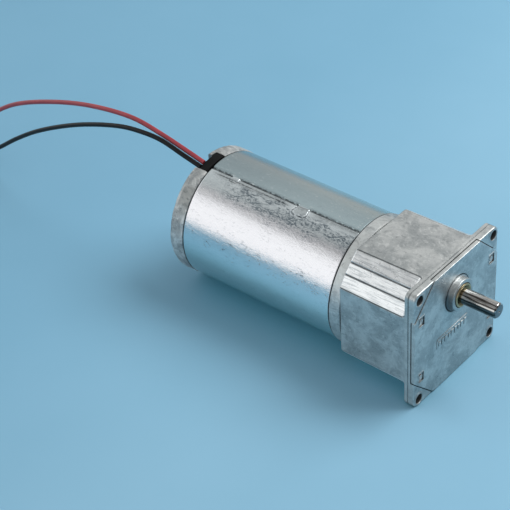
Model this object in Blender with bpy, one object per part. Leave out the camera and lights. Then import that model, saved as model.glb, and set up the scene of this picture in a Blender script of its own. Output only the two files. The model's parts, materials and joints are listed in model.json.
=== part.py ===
"""Brushed DC gearmotor with an offset output shaft, built as separate pieces.

Frame: the origin is the centre of the square mounting face, +X runs out of
the face along the shafts, +Z is up and the gearmotor lies with its axis level.
The motor's own axis is y = z = 0; the output shaft sits above it.
All working dimensions below are in millimetres and are scaled to metres when
a mesh is made. Angles named *_deg with "from top" turn from +Z towards -Y.
"""

import math

import bmesh
import bpy
from mathutils import Vector, geometry

MM = 0.001

# ---- driving dimensions (mm) ------------------------------------------------
GAP = 0.3  # clearance kept between neighbouring meshes

FLANGE_SIDE = 68.0
FLANGE_REAR = -6.1
EAR_FRONT = -0.4
FLANGE_CORNER_R = 3.2
HOLE_HALF = 30.0  # mounting holes on a 60 x 60 square
HOLE_R = 2.5

COVER_T = 2.2
COVER_CUT_SUM = 52.2  # |y| + |z| on the cover's cut corners
BOSS_R = 8.4
BOSS_FRONT = 3.3
INNER_HUB_REAR = -9.0

BODY_REAR = -43.9
# each corner of the body is cut by three facets that meet at these points
BODY_CORNER = ((33.6, 19.3), (29.3, 24.9), (24.9, 29.3), (19.3, 33.6))
GROOVE_W = 1.1
GROOVE_D = 0.6
RING_REAR = -50.3
RING_R = 33.9
SPIGOT_R = 31.1
SPIGOT_REAR = -53.3
SPIGOT_BORE_R = 28.5
WALL_REAR = -46.9
WALL_FRONT = -42.0
CAVITY_HALF = 30.4
CAVITY_CUT_SUM = 50.0
POST_CUT_SUM = 43.6  # corner posts near the cover leave less room
POST_REAR = -11.5

CAN_R = 33.5
CAN_WALL = 2.0
CAN_FRONT = RING_REAR - GAP
CAN_REAR = -143.1
SEAM_DEG = 12.6
SEAM_W = 0.5

CAP_FRONT = CAN_REAR - GAP
CAP_REAR = -151.8
CAP_R = 33.9
CAP_WALL = 3.0
CAP_BORE_R = 30.6
CAP_HUB_R = 11.0
CAP_HUB_REAR = -155.0
NOTCH_WIDE_DEG = (-5.0, 19.4)
NOTCH_NARROW_DEG = (1.0, 19.4)
NOTCH_STEP_X = -149.2
NOTCH_FLOOR_R = 29.3

OUTPUT_Z = 15.2
OUTPUT_SHAFT_R = 4.0
OUTPUT_TIP = 23.3
JOURNAL_R = 3.0

ROTOR_SHAFT_R = 3.0
BUSH_GAP = 0.25

# gear train: motor pinion -> idler 1 -> idler 2 -> output gear
M1, N_MOTOR, N_IDLER1 = 0.7, 10, 39
M2, N_PINION1, N_IDLER2 = 0.8, 12, 36
M3, N_PINION2, N_OUTPUT = 1.0, 12, 26
IDLER1_YZ = (7.52, -15.414)
IDLER2_YZ = (14.20, 2.576)
PIN_R = 2.0

BOLT_DEG = -52.0
BOLT_CIRCLE_R = 27.4
BOLT_R = 2.0
MAGNET_MID_DEG = 38.0

LEAD_R = 1.25

# Routes of the two leads, as the points that a smooth curve passes through:
# up and back out of the grommet, over in an arch, down to the surface that
# the gearmotor lies on, and a short way along it.
RED_ROUTE = (
    (-149.3, -6.7, 32.5),
    (-160.3, -6.5, 34.9),
    (-179.0, -5.8, 38.1),
    (-198.3, -4.9, 39.6),
    (-228.7, -4.1, 35.2),
    (-261.1, -3.3, 25.5),
    (-296.5, -2.4, 10.0),
    (-322.0, -1.6, -8.0),
    (-341.0, -2.0, -24.5),
    (-353.0, -3.5, -31.2),
    (-364.0, -6.0, -32.65),
    (-378.0, -11.0, -32.75),
)
BLACK_ROUTE = (
    (-149.3, -9.4, 31.55),
    (-160.0, -9.4, 33.9),
    (-176.4, -8.9, 37.0),
    (-190.6, -8.7, 36.5),
    (-205.2, -8.5, 33.9),
    (-236.3, -8.4, 23.0),
    (-270.0, -8.3, 6.2),
    (-290.8, -8.2, -7.3),
    (-307.7, -8.4, -20.0),
    (-320.0, -9.2, -28.6),
    (-332.0, -11.0, -32.3),
    (-345.0, -14.0, -32.75),
    (-377.0, -24.0, -32.75),
)
STRIP_LEN = 6.0
STRIP_R = 0.75


# ---- scene ------------------------------------------------------------------
for old in list(bpy.data.objects):
    bpy.data.objects.remove(old, do_unlink=True)

assembly = bpy.data.objects.new("gearmotor", None)
bpy.context.scene.collection.objects.link(assembly)


def material(name, colour, metallic, roughness):
    mat = bpy.data.materials.new(name)
    mat.use_nodes = True
    bsdf = mat.node_tree.nodes["Principled BSDF"]
    bsdf.inputs["Base Color"].default_value = (*colour, 1.0)
    bsdf.inputs["Metallic"].default_value = metallic
    bsdf.inputs["Roughness"].default_value = roughness
    mat.diffuse_color = (*colour, 1.0)
    return mat


FINISHES = {
    "die_cast": ((0.50, 0.52, 0.53), 0.85, 0.45),
    "zinc_plate": ((0.72, 0.75, 0.77), 1.0, 0.28),
    "steel": ((0.60, 0.60, 0.60), 1.0, 0.22),
    "bronze": ((0.55, 0.42, 0.22), 1.0, 0.40),
    "brass": ((0.72, 0.56, 0.25), 1.0, 0.30),
    "ferrite": ((0.07, 0.07, 0.08), 0.1, 0.60),
    "lamination": ((0.34, 0.34, 0.35), 0.9, 0.45),
    "copper": ((0.70, 0.32, 0.16), 1.0, 0.30),
    "black_plastic": ((0.02, 0.02, 0.02), 0.0, 0.50),
    "nylon": ((0.75, 0.73, 0.66), 0.0, 0.50),
    "carbon": ((0.05, 0.05, 0.05), 0.2, 0.60),
    "red_pvc": ((0.42, 0.06, 0.07), 0.0, 0.45),
    "black_pvc": ((0.02, 0.02, 0.02), 0.0, 0.45),
    "tinned": ((0.70, 0.70, 0.68), 1.0, 0.30),
}


def link(obj, finish, centre=(0.0, 0.0)):
    """Place the object's origin on its own axis and hang it on the assembly."""
    colour, metallic, roughness = FINISHES[finish]
    obj.data.materials.append(material(obj.name, colour, metallic, roughness))
    bpy.context.scene.collection.objects.link(obj)
    obj.location = (0.0, centre[0] * MM, centre[1] * MM)
    obj.parent = assembly
    return obj


def build(name, verts, faces, finish, centre=(0.0, 0.0)):
    """One closed mesh object from points in mm, given in the object's frame."""
    mesh = bpy.data.meshes.new(name)
    mesh.from_pydata([(x * MM, y * MM, z * MM) for x, y, z in verts], [], faces)
    bm = bmesh.new()
    bm.from_mesh(mesh)
    bmesh.ops.recalc_face_normals(bm, faces=bm.faces)
    bm.to_mesh(mesh)
    bm.free()
    if finish is not None:
        mesh.shade_smooth()
        mesh.set_sharp_from_angle(angle=math.radians(32))
    obj = bpy.data.objects.new(name, mesh)
    if finish is not None:
        return link(obj, finish, centre)
    bpy.context.scene.collection.objects.link(obj)
    obj.location = (0.0, centre[0] * MM, centre[1] * MM)
    obj.hide_render = True
    obj.display_type = "WIRE"
    return obj


def lathe(name, profile, finish, centre=(0.0, 0.0), segs=40):
    """Turn a closed (x, r) profile about the X axis through `centre`."""
    verts, rows = [], []
    for x, r in profile:
        if r < 1e-6:
            rows.append([len(verts)])
            verts.append((x, 0.0, 0.0))
        else:
            start = len(verts)
            for k in range(segs):
                a = 2 * math.pi * k / segs
                verts.append((x, r * math.cos(a), r * math.sin(a)))
            rows.append(list(range(start, start + segs)))
    faces = []
    for i, row in enumerate(rows):
        nxt = rows[(i + 1) % len(rows)]
        if len(row) == 1 and len(nxt) == 1:
            continue
        for k in range(segs):
            j = (k + 1) % segs
            if len(row) == 1:
                faces.append((row[0], nxt[j], nxt[k]))
            elif len(nxt) == 1:
                faces.append((row[k], row[j], nxt[0]))
            else:
                faces.append((row[k], row[j], nxt[j], nxt[k]))
    return build(name, verts, faces, finish, centre)


def prism(name, outer, x0, x1, finish, holes=(), centre=(0.0, 0.0)):
    """Extrude a (y, z) outline with holes along X."""
    loops = [list(outer)] + [list(h) for h in holes]
    flat = [p for loop in loops for p in loop]
    tris = geometry.tessellate_polygon(
        [[Vector((p[0], p[1], 0.0)) for p in loop] for loop in loops]
    )
    n = len(flat)
    verts = [(x0, y, z) for y, z in flat] + [(x1, y, z) for y, z in flat]
    faces = [tuple(t) for t in tris] + [tuple(i + n for i in t) for t in tris]
    start = 0
    for loop in loops:
        m = len(loop)
        for k in range(m):
            a, b = start + k, start + (k + 1) % m
            faces.append((a, b, b + n, a + n))
        start += m
    return build(name, verts, faces, finish, centre)


def circle(r, segs=24, centre=(0.0, 0.0), phase=0.0):
    return [
        (
            centre[0] + r * math.cos(phase + 2 * math.pi * k / segs),
            centre[1] + r * math.sin(phase + 2 * math.pi * k / segs),
        )
        for k in range(segs)
    ]


def from_top(r, deg):
    """A (y, z) point at radius r, `deg` from +Z towards -Y."""
    a = math.radians(deg)
    return (-r * math.sin(a), r * math.cos(a))


def arc(r, deg0, deg1, steps):
    return [
        from_top(r, deg0 + (deg1 - deg0) * k / steps) for k in range(steps + 1)
    ]


def sector(r0, r1, deg0, deg1, steps):
    return arc(r1, deg0, deg1, steps) + arc(r0, deg1, deg0, steps)


def rounded_square(half, r, steps=5):
    pts = []
    for sy, sz, a0 in ((1, 1, 0), (-1, 1, 90), (-1, -1, 180), (1, -1, 270)):
        for k in range(steps + 1):
            a = math.radians(a0 + 90 * k / steps)
            pts.append(
                (
                    sy * (half - r) + r * math.cos(a),
                    sz * (half - r) + r * math.sin(a),
                )
            )
    return pts


def octagon(half, cut_sum):
    c = cut_sum - half
    return [
        (half, c), (c, half), (-c, half), (-half, c),
        (-half, -c), (-c, -half), (c, -half), (half, -c),
    ]


def faceted_square(corner, width, depth):
    """A square whose corners are cut by three facets, with a shallow V groove
    where two facets meet."""
    a, b, c, d = (Vector(p) for p in corner)
    quarter = [a]
    for before, at, after in ((a, b, c), (b, c, d)):
        quarter.append(at + (before - at).normalized() * width / 2)
        quarter.append(at - at.normalized() * depth)
        quarter.append(at + (after - at).normalized() * width / 2)
    quarter.append(d)
    out = []
    for _ in range(4):
        out += [tuple(p) for p in quarter]
        quarter = [Vector((-p.y, p.x)) for p in quarter]
    return out


def boolean(obj, other, operation):
    mod = obj.modifiers.new(operation.lower(), "BOOLEAN")
    mod.operation = operation
    mod.solver = "EXACT"
    mod.object = other
    return obj


def cut(obj, other):
    return boolean(obj, other, "DIFFERENCE")


def weld(obj, other):
    return boolean(obj, other, "UNION")


def involute(n, m, phase, backlash=0.16, add=0.9, ded=1.2, flank=2):
    """Outline of a spur gear with n teeth of module m, a tooth at `phase`."""
    pa = math.radians(20)
    rp = n * m / 2
    rb = rp * math.cos(pa)
    ra = rp + add * m
    rr = rp - ded * m
    inv = math.tan(pa) - pa
    half_p = math.pi / (2 * n) - backlash / (2 * rp)

    def half_at(r):
        if r <= rb:
            return half_p + inv
        t = math.acos(rb / r)
        return half_p + inv - (math.tan(t) - t)

    r_start = max(rb, rr)
    radii = [r_start + (ra - r_start) * k / flank for k in range(flank + 1)]
    root_half = half_at(r_start)
    pts = []
    for i in range(n):
        c = phase + 2 * math.pi * i / n
        if rr < rb - 1e-6:
            pts.append((rr, c - root_half))
        for r in radii:
            pts.append((r, c - half_at(r)))
        for r in reversed(radii):
            pts.append((r, c + half_at(r)))
        if rr < rb - 1e-6:
            pts.append((rr, c + root_half))
        else:
            pts.append((rr, c + math.pi / n))
    return [(r * math.cos(a), r * math.sin(a)) for r, a in pts]


def bearing_angle(a, b):
    return math.atan2(b[1] - a[1], b[0] - a[0])


# ---- gearbox housing --------------------------------------------------------
housing = prism(
    "gearbox_housing",
    faceted_square(BODY_CORNER, GROOVE_W, GROOVE_D),
    BODY_REAR,
    FLANGE_REAR + 1.0,
    "die_cast",
)
weld(
    housing,
    prism(
        "tool_flange",
        rounded_square(FLANGE_SIDE / 2, FLANGE_CORNER_R),
        FLANGE_REAR,
        EAR_FRONT,
        None,
        holes=[
            circle(HOLE_R, 16, (sy * HOLE_HALF, sz * HOLE_HALF))
            for sy in (1, -1)
            for sz in (1, -1)
        ],
    ),
)
weld(
    housing,
    lathe(
        "tool_ring",
        [
            (BODY_REAR + 1.5, 0.0),
            (BODY_REAR + 1.5, 33.0),
            (BODY_REAR + 0.2, RING_R),
            (RING_REAR, RING_R),
            (RING_REAR, SPIGOT_R),
            (SPIGOT_REAR, SPIGOT_R),
            (SPIGOT_REAR, 0.0),
        ],
        None,
        segs=52,
    ),
)
# gear chamber: full width behind, narrower between the corner posts in front
cut(
    housing,
    prism(
        "tool_chamber",
        octagon(CAVITY_HALF, CAVITY_CUT_SUM),
        WALL_FRONT,
        POST_REAR,
        None,
    ),
)
cut(
    housing,
    prism(
        "tool_chamber_mouth",
        octagon(CAVITY_HALF - 0.1, POST_CUT_SUM),
        POST_REAR - 0.8,
        2.0,
        None,
    ),
)
# seat for the cover plate
cut(
    housing,
    prism(
        "tool_cover_seat",
        octagon(40.0, COVER_CUT_SUM + 2 * GAP),
        -COVER_T - GAP,
        3.0,
        None,
    ),
)
# motor side: spigot bore, with a boss left for each tie bolt
spigot_bore = lathe(
    "tool_spigot_bore",
    [
        (SPIGOT_REAR - 4.0, 0.0),
        (WALL_REAR, 0.0),
        (WALL_REAR, SPIGOT_BORE_R),
        (SPIGOT_REAR - 4.0, SPIGOT_BORE_R),
    ],
    None,
    segs=36,
)
for k in (0, 1):
    cut(
        spigot_bore,
        lathe(
            f"tool_bolt_boss_{k}",
            [
                (SPIGOT_REAR - 6.0, 0.0),
                (WALL_REAR + 2.0, 0.0),
                (WALL_REAR + 2.0, 4.4),
                (SPIGOT_REAR - 6.0, 4.4),
            ],
            None,
            centre=from_top(BOLT_CIRCLE_R, BOLT_DEG + 180 * k),
            segs=14,
        ),
    )
cut(housing, spigot_bore)


def drill(name, r, x0, x1, centre, segs=16):
    return lathe(
        name,
        [(x0, 0.0), (x1, 0.0), (x1, r), (x0, r)],
        None,
        centre=centre,
        segs=segs,
    )


for k in (0, 1):
    cut(
        housing,
        drill(
            f"tool_bolt_thread_{k}",
            BOLT_R + GAP,
            SPIGOT_REAR - 5.0,
            -44.0,
            from_top(BOLT_CIRCLE_R, BOLT_DEG + 180 * k),
            16,
        ),
    )
cut(housing, drill("tool_motor_bearing", 7.3, -50.0, -38.0, (0.0, 0.0), 28))
cut(housing, drill("tool_rear_bush", 5.9, -45.7, -38.0, (0.0, OUTPUT_Z), 24))
cut(housing, drill("tool_pin_1", PIN_R + GAP, -45.4, -38.0, IDLER1_YZ, 12))
cut(housing, drill("tool_pin_2", PIN_R + GAP, -45.4, -38.0, IDLER2_YZ, 12))
STAKES = [(sy * 28.8, sz * 17.0) for sy in (-1, 1) for sz in (1, -1)]
for k, at in enumerate(STAKES):
    cut(housing, drill(f"tool_stake_{k}", 1.5, -9.3, 2.0, at, 12))

# ---- cover plate ------------------------------------------------------------
cover = prism(
    "gearbox_cover",
    octagon(FLANGE_SIDE / 2 - 0.1, COVER_CUT_SUM),
    -COVER_T,
    0.0,
    "die_cast",
    holes=[circle(7.4, 32, (0.0, OUTPUT_Z))],
)
weld(
    cover,
    lathe(
        "tool_boss",
        [
            (INNER_HUB_REAR, 6.5),
            (BOSS_FRONT, 6.5),
            (BOSS_FRONT, BOSS_R - 0.6),
            (BOSS_FRONT - 0.6, BOSS_R),
            (INNER_HUB_REAR, BOSS_R),
        ],
        None,
        centre=(0.0, OUTPUT_Z),
        segs=32,
    ),
)
for k, at in enumerate((IDLER1_YZ, IDLER2_YZ)):
    weld(
        cover,
        drill(f"tool_pin_boss_{k}", 4.2, -6.0, -1.0, at, 16),
    )
    cut(
        cover,
        drill(f"tool_pin_seat_{k}", PIN_R + GAP, -9.0, -1.6, at, 12),
    )
for k, at in enumerate(STAKES):
    cut(cover, drill(f"tool_stake_hole_{k}", 1.5, -5.0, 2.0, at, 12))
    pocket = prism(
        f"tool_stake_pocket_{k}",
        [
            (at[0] - 2.4, at[1] - 3.4),
            (at[0] + 2.4, at[1] - 3.4),
            (at[0] + 2.4, at[1] + 3.4),
            (at[0] - 2.4, at[1] + 3.4),
        ],
        -0.5,
        2.0,
        None,
    )
    cut(cover, pocket)
    lathe(
        f"cover_stake_{k + 1}",
        [(-8.8, 0.0), (-0.3, 0.0), (-0.3, 1.2), (-8.8, 1.2)],
        "die_cast",
        centre=at,
        segs=14,
    )

# ---- bushes and bearings ----------------------------------------------------
lathe(
    "output_bush_front",
    [
        (-8.8, OUTPUT_SHAFT_R + BUSH_GAP),
        (3.9, OUTPUT_SHAFT_R + BUSH_GAP),
        (3.9, 5.8),
        (3.5, 6.2),
        (-8.8, 6.2),
    ],
    "bronze",
    centre=(0.0, OUTPUT_Z),
    segs=32,
)
lathe(
    "output_bush_rear",
    [
        (-45.4, JOURNAL_R + BUSH_GAP),
        (-40.0, JOURNAL_R + BUSH_GAP),
        (-40.0, 5.6),
        (-45.4, 5.6),
    ],
    "bronze",
    centre=(0.0, OUTPUT_Z),
    segs=28,
)
lathe(
    "motor_front_bearing",
    [
        (-47.6, ROTOR_SHAFT_R + BUSH_GAP),
        (-42.2, ROTOR_SHAFT_R + BUSH_GAP),
        (-42.2, 7.0),
        (-47.6, 7.0),
    ],
    "bronze",
    segs=28,
)
lathe(
    "motor_rear_bearing",
    [
        (-154.0, ROTOR_SHAFT_R + BUSH_GAP),
        (-147.6, ROTOR_SHAFT_R + BUSH_GAP),
        (-147.6, 7.0),
        (-154.0, 7.0),
    ],
    "bronze",
    segs=28,
)

# ---- idler pins, gears and spacers -----------------------------------------
for k, at in enumerate((IDLER1_YZ, IDLER2_YZ)):
    lathe(
        f"idler_pin_{k + 1}",
        [(-45.1, 0.0), (-1.9, 0.0), (-1.9, PIN_R), (-45.1, PIN_R)],
        "steel",
        centre=at,
        segs=20,
    )

MOTOR_YZ = (0.0, 0.0)
OUTPUT_YZ = (0.0, OUTPUT_Z)
mesh_1 = bearing_angle(MOTOR_YZ, IDLER1_YZ)
mesh_2 = bearing_angle(IDLER1_YZ, IDLER2_YZ)
mesh_3 = bearing_angle(IDLER2_YZ, OUTPUT_YZ)

prism(
    "motor_pinion",
    involute(N_MOTOR, M1, mesh_1, add=0.85, ded=1.15),
    -41.2,
    -34.9,
    "steel",
    holes=[circle(2.3, 16)],
)
prism(
    "idler_gear_1",
    involute(N_IDLER1, M1, mesh_1 + math.pi + math.pi / N_IDLER1, add=0.75),
    -40.6,
    -35.6,
    "nylon",
    holes=[circle(3.4, 20)],
    centre=IDLER1_YZ,
)
pinion_1 = prism(
    "idler_pinion_1",
    involute(N_PINION1, M2, mesh_2, add=0.85, ded=1.15),
    -35.2,
    -26.0,
    "steel",
    holes=[circle(PIN_R + BUSH_GAP, 16)],
    centre=IDLER1_YZ,
)
weld(
    pinion_1,
    lathe(
        "tool_hub_1",
        [
            (-41.2, PIN_R + BUSH_GAP),
            (-34.0, PIN_R + BUSH_GAP),
            (-34.0, 3.1),
            (-41.2, 3.1),
        ],
        None,
        centre=IDLER1_YZ,
        segs=16,
    ),
)
prism(
    "idler_gear_2",
    involute(N_IDLER2, M2, mesh_2 + math.pi + math.pi / N_IDLER2, add=0.75),
    -32.0,
    -26.6,
    "nylon",
    holes=[circle(3.7, 20)],
    centre=IDLER2_YZ,
)
pinion_2 = prism(
    "idler_pinion_2",
    involute(N_PINION2, M3, mesh_3, add=0.85, ded=1.15),
    -26.2,
    -11.2,
    "steel",
    holes=[circle(PIN_R + BUSH_GAP, 16)],
    centre=IDLER2_YZ,
)
weld(
    pinion_2,
    lathe(
        "tool_hub_2",
        [
            (-32.6, PIN_R + BUSH_GAP),
            (-25.0, PIN_R + BUSH_GAP),
            (-25.0, 3.4),
            (-32.6, 3.4),
        ],
        None,
        centre=IDLER2_YZ,
        segs=16,
    ),
)
lathe(
    "idler_spacer_1",
    [(-25.6, 2.3), (-6.4, 2.3), (-6.4, 3.1), (-25.6, 3.1)],
    "steel",
    centre=IDLER1_YZ,
    segs=16,
)
lathe(
    "idler_spacer_2",
    [(-10.8, 2.3), (-6.4, 2.3), (-6.4, 3.3), (-10.8, 3.3)],
    "steel",
    centre=IDLER2_YZ,
    segs=16,
)
lathe(
    "idler_rear_spacer_2",
    [(-41.6, 2.3), (-33.0, 2.3), (-33.0, 3.3), (-41.6, 3.3)],
    "steel",
    centre=IDLER2_YZ,
    segs=16,
)

# ---- output shaft and gear --------------------------------------------------
lathe(
    "output_shaft",
    [
        (-44.9, 0.0),
        (OUTPUT_TIP, 0.0),
        (OUTPUT_TIP, OUTPUT_SHAFT_R - 0.7),
        (OUTPUT_TIP - 0.7, OUTPUT_SHAFT_R),
        (-22.6, OUTPUT_SHAFT_R),
        (-22.6, JOURNAL_R),
        (-44.9, JOURNAL_R),
    ],
    "steel",
    centre=OUTPUT_YZ,
    segs=36,
)
prism(
    "output_gear",
    involute(N_OUTPUT, M3, mesh_3 + math.pi + math.pi / N_OUTPUT, add=0.75),
    -21.4,
    -12.2,
    "steel",
    holes=[circle(OUTPUT_SHAFT_R + GAP, 24)],
    centre=OUTPUT_YZ,
)
lathe(
    "output_thrust_washer",
    [(-11.6, 4.3), (-10.4, 4.3), (-10.4, 7.4), (-11.6, 7.4)],
    "steel",
    centre=OUTPUT_YZ,
    segs=24,
)
prism(
    "output_retaining_ring",
    sector(4.3, 6.0, 20.0, 340.0, 20),
    -22.6,
    -21.8,
    "steel",
    centre=OUTPUT_YZ,
)

# ---- motor can and magnets --------------------------------------------------
seam_half = math.degrees(SEAM_W / 2 / CAN_R)
prism(
    "motor_can",
    sector(
        CAN_R - CAN_WALL,
        CAN_R,
        SEAM_DEG + seam_half,
        SEAM_DEG + 360 - seam_half,
        72,
    ),
    CAN_REAR,
    CAN_FRONT,
    "zinc_plate",
)
for k, name in enumerate(("magnet_a", "magnet_b")):
    mid = MAGNET_MID_DEG + 180 * k
    prism(
        name,
        sector(24.2, 31.1, mid - 62, mid + 62, 20),
        -127.0,
        -67.0,
        "ferrite",
    )
for k, name in enumerate(("magnet_clip_a", "magnet_clip_b")):
    mid = BOLT_DEG + 180 * k
    # a bent spring strip that pushes the two magnets apart
    prism(
        name,
        arc(31.1, mid - 24, mid + 24, 10)
        + [from_top(25.6, mid + 24), from_top(25.6, mid + 22.2)]
        + arc(30.4, mid + 22.2, mid - 22.2, 10)
        + [from_top(25.6, mid - 22.2), from_top(25.6, mid - 24)],
        -120.0,
        -74.0,
        "steel",
    )

# ---- rotor ------------------------------------------------------------------
lathe(
    "rotor_shaft",
    [
        (-153.6, 0.0),
        (-34.6, 0.0),
        (-34.6, 2.0),
        (-41.6, 2.0),
        (-41.6, ROTOR_SHAFT_R),
        (-153.6, ROTOR_SHAFT_R),
    ],
    "steel",
    segs=28,
)

SLOTS = 12
CORE_R = 23.3


def armature_outline():
    """Laminated core: twelve teeth with wide tips round open slots."""
    pts = []
    half_mouth = 1.3
    for i in range(SLOTS):
        c = 360.0 * i / SLOTS
        step = 360.0 / SLOTS
        m = math.degrees(half_mouth / CORE_R)
        # tip of the tooth that follows slot i
        for k in range(5):
            pts.append(from_top(CORE_R, c + m + (step - 2 * m) * k / 4))
        # slot i + 1: mouth, shoulders, floor
        n = c + step
        side = Vector(from_top(1.0, n + 90))
        up = Vector(from_top(1.0, n))
        for along, across in (
            (21.8, -half_mouth),
            (21.2, -3.2),
            (14.2, -1.7),
            (14.2, 1.7),
            (21.2, 3.2),
            (21.8, half_mouth),
        ):
            p = up * along + side * across
            pts.append((p.x, p.y))
    return pts


prism(
    "armature_core",
    armature_outline(),
    -124.0,
    -70.0,
    "lamination",
    holes=[circle(3.3, 20)],
)


def winding_bar(name, i, finish):
    n = 360.0 * i / SLOTS
    side = Vector(from_top(1.0, n + 90))
    up = Vector(from_top(1.0, n))
    quad = []
    for along, across in ((20.8, -2.7), (14.6, -1.35), (14.6, 1.35), (20.8, 2.7)):
        p = up * along + side * across
        quad.append((p.x, p.y))
    return prism(name, quad, -126.0, -68.0, finish)


winding = lathe(
    "armature_winding",
    [
        (-60.5, 8.0),
        (-58.5, 12.0),
        (-59.0, 18.0),
        (-62.0, 21.4),
        (-66.5, 22.4),
        (-69.5, 21.4),
        (-69.5, 6.5),
        (-62.5, 6.5),
    ],
    "copper",
    segs=24,
)
rear_turns = lathe(
    "tool_rear_turns",
    [
        (-124.4, 6.5),
        (-124.4, 21.4),
        (-126.0, 22.2),
        (-127.6, 20.0),
        (-128.2, 14.0),
        (-127.6, 6.5),
    ],
    None,
    segs=24,
)
weld(winding, rear_turns)
for i in range(SLOTS):
    weld(winding, winding_bar(f"tool_bar_{i}", i, None))

SEGMENTS = 12
commutator_pts = []
for i in range(SEGMENTS):
    c = 360.0 * i / SEGMENTS
    half = 15.0 - 1.8
    for k in range(4):
        commutator_pts.append(from_top(9.0, c - half + 2 * half * k / 3))
    commutator_pts.append(from_top(8.1, c + half + 0.6))
    commutator_pts.append(from_top(8.1, c + 30.0 - half - 0.6))
prism(
    "commutator",
    commutator_pts,
    -141.0,
    -129.0,
    "copper",
    holes=[circle(3.3, 20)],
)
lathe(
    "rotor_front_washer",
    [(-49.4, 3.3), (-48.2, 3.3), (-48.2, 5.6), (-49.4, 5.6)],
    "nylon",
    segs=20,
)
lathe(
    "rotor_rear_washer",
    [(-147.2, 3.3), (-146.0, 3.3), (-146.0, 5.6), (-147.2, 5.6)],
    "nylon",
    segs=20,
)

# ---- brush gear -------------------------------------------------------------
BRUSH_X0, BRUSH_X1 = -138.6, -131.6
BRUSH_HALF_Y = 3.0
BRUSH_IN, BRUSH_OUT = 9.35, 18.6
BOX_OUT = 27.6

brush_plate = lathe(
    "brush_plate",
    [
        (-144.6, 10.4),
        (-142.4, 10.4),
        (-142.4, 30.8),
        (-144.6, 30.8),
    ],
    "black_plastic",
    segs=56,
)
for k in (0, 1):
    cut(
        brush_plate,
        drill(
            f"tool_plate_bolt_{k}",
            BOLT_R + 0.6,
            -148.0,
            -139.0,
            from_top(BOLT_CIRCLE_R, BOLT_DEG + 180 * k),
            16,
        ),
    )
cut(
    brush_plate,
    prism(
        "tool_plate_notch",
        sector(27.0, 34.0, NOTCH_WIDE_DEG[0] - 2, NOTCH_WIDE_DEG[1] + 2, 4),
        -148.0,
        -139.0,
        None,
    ),
)


def box_mesh(name, lo, hi, finish):
    x0, y0, z0 = lo
    x1, y1, z1 = hi
    return prism(
        name, [(y0, z0), (y1, z0), (y1, z1), (y0, z1)], x0, x1, finish
    )


for name, s in (("a", 1), ("b", -1)):
    lo_z, hi_z = sorted((s * BRUSH_IN, s * BRUSH_OUT))
    box_mesh(
        f"brush_{name}",
        (BRUSH_X0, -BRUSH_HALF_Y, lo_z),
        (BRUSH_X1, BRUSH_HALF_Y, hi_z),
        "carbon",
    )
    lo_z, hi_z = sorted((s * 10.6, s * BOX_OUT))
    holder = box_mesh(
        f"brush_box_{name}",
        (BRUSH_X0 - 1.2, -BRUSH_HALF_Y - 1.2, lo_z),
        (BRUSH_X1 + 1.2, BRUSH_HALF_Y + 1.2, hi_z),
        "brass",
    )
    lo_z, hi_z = sorted((s * 6.0, s * (BOX_OUT - 0.8)))
    cut(
        holder,
        box_mesh(
            f"tool_brush_slot_{name}",
            (BRUSH_X0 - GAP, -BRUSH_HALF_Y - GAP, lo_z),
            (BRUSH_X1 + GAP, BRUSH_HALF_Y + GAP, hi_z),
            None,
        ),
    )
    # helical spring between the brush and the closed end of its box
    turns, steps, wire, radius = 4, 8, 0.32, 2.1
    z0 = s * (BRUSH_OUT + 0.3 + wire)
    z1 = s * (BOX_OUT - 0.8 - 0.3 - wire)
    mid_x = (BRUSH_X0 + BRUSH_X1) / 2
    verts, faces = [], []
    total = turns * steps
    for i in range(total + 1):
        a = 2 * math.pi * i / steps
        z = z0 + (z1 - z0) * i / total
        c = Vector((mid_x + radius * math.cos(a), radius * math.sin(a), z))
        out_dir = Vector((math.cos(a), math.sin(a), 0.0))
        for k in range(5):
            b = 2 * math.pi * k / 5
            verts.append(
                tuple(c + out_dir * wire * math.cos(b) + Vector((0, 0, wire * math.sin(b))))
            )
    for i in range(total):
        for k in range(5):
            j = (k + 1) % 5
            faces.append((i * 5 + k, i * 5 + j, i * 5 + 5 + j, i * 5 + 5 + k))
    faces.append(tuple(range(4, -1, -1)))
    faces.append(tuple(range(total * 5, total * 5 + 5)))
    build(f"brush_spring_{name}", verts, faces, "steel")

# ---- end cap ----------------------------------------------------------------
end_cap = lathe(
    "end_cap",
    [
        (CAP_HUB_REAR, 0.0),
        (CAP_HUB_REAR, CAP_HUB_R - 1.0),
        (CAP_HUB_REAR + 1.0, CAP_HUB_R),
        (CAP_REAR, CAP_HUB_R + 1.0),
        (CAP_REAR, CAP_R - 1.2),
        (CAP_REAR + 1.2, CAP_R),
        (CAP_FRONT, CAP_R),
        (CAP_FRONT, 31.1),
        (-145.0, 31.1),
        (-145.0, CAP_BORE_R - 1.0),
        (CAP_REAR + CAP_WALL, CAP_BORE_R - 1.0),
        (CAP_REAR + CAP_WALL, CAP_HUB_R - 1.5),
        (-147.6, CAP_HUB_R - 1.5),
        (-147.6, 0.0),
    ],
    "die_cast",
    segs=52,
)
cut(
    end_cap,
    drill("tool_rear_bearing", 7.3, -154.3, -140.0, (0.0, 0.0), 28),
)
for k in (0, 1):
    cut(
        end_cap,
        drill(
            f"tool_cap_bolt_{k}",
            BOLT_R + GAP,
            -160.0,
            -140.0,
            from_top(BOLT_CIRCLE_R, BOLT_DEG + 180 * k),
            16,
        ),
    )
cut(
    end_cap,
    prism(
        "tool_notch_wide",
        sector(NOTCH_FLOOR_R - 3.0, 40.0, NOTCH_WIDE_DEG[0], NOTCH_WIDE_DEG[1], 6),
        NOTCH_STEP_X,
        -140.0,
        None,
    ),
)
cut(
    end_cap,
    prism(
        "tool_notch_narrow",
        sector(NOTCH_FLOOR_R, 40.0, NOTCH_NARROW_DEG[0], NOTCH_NARROW_DEG[1], 6),
        -158.0,
        -147.0,
        None,
    ),
)

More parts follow.
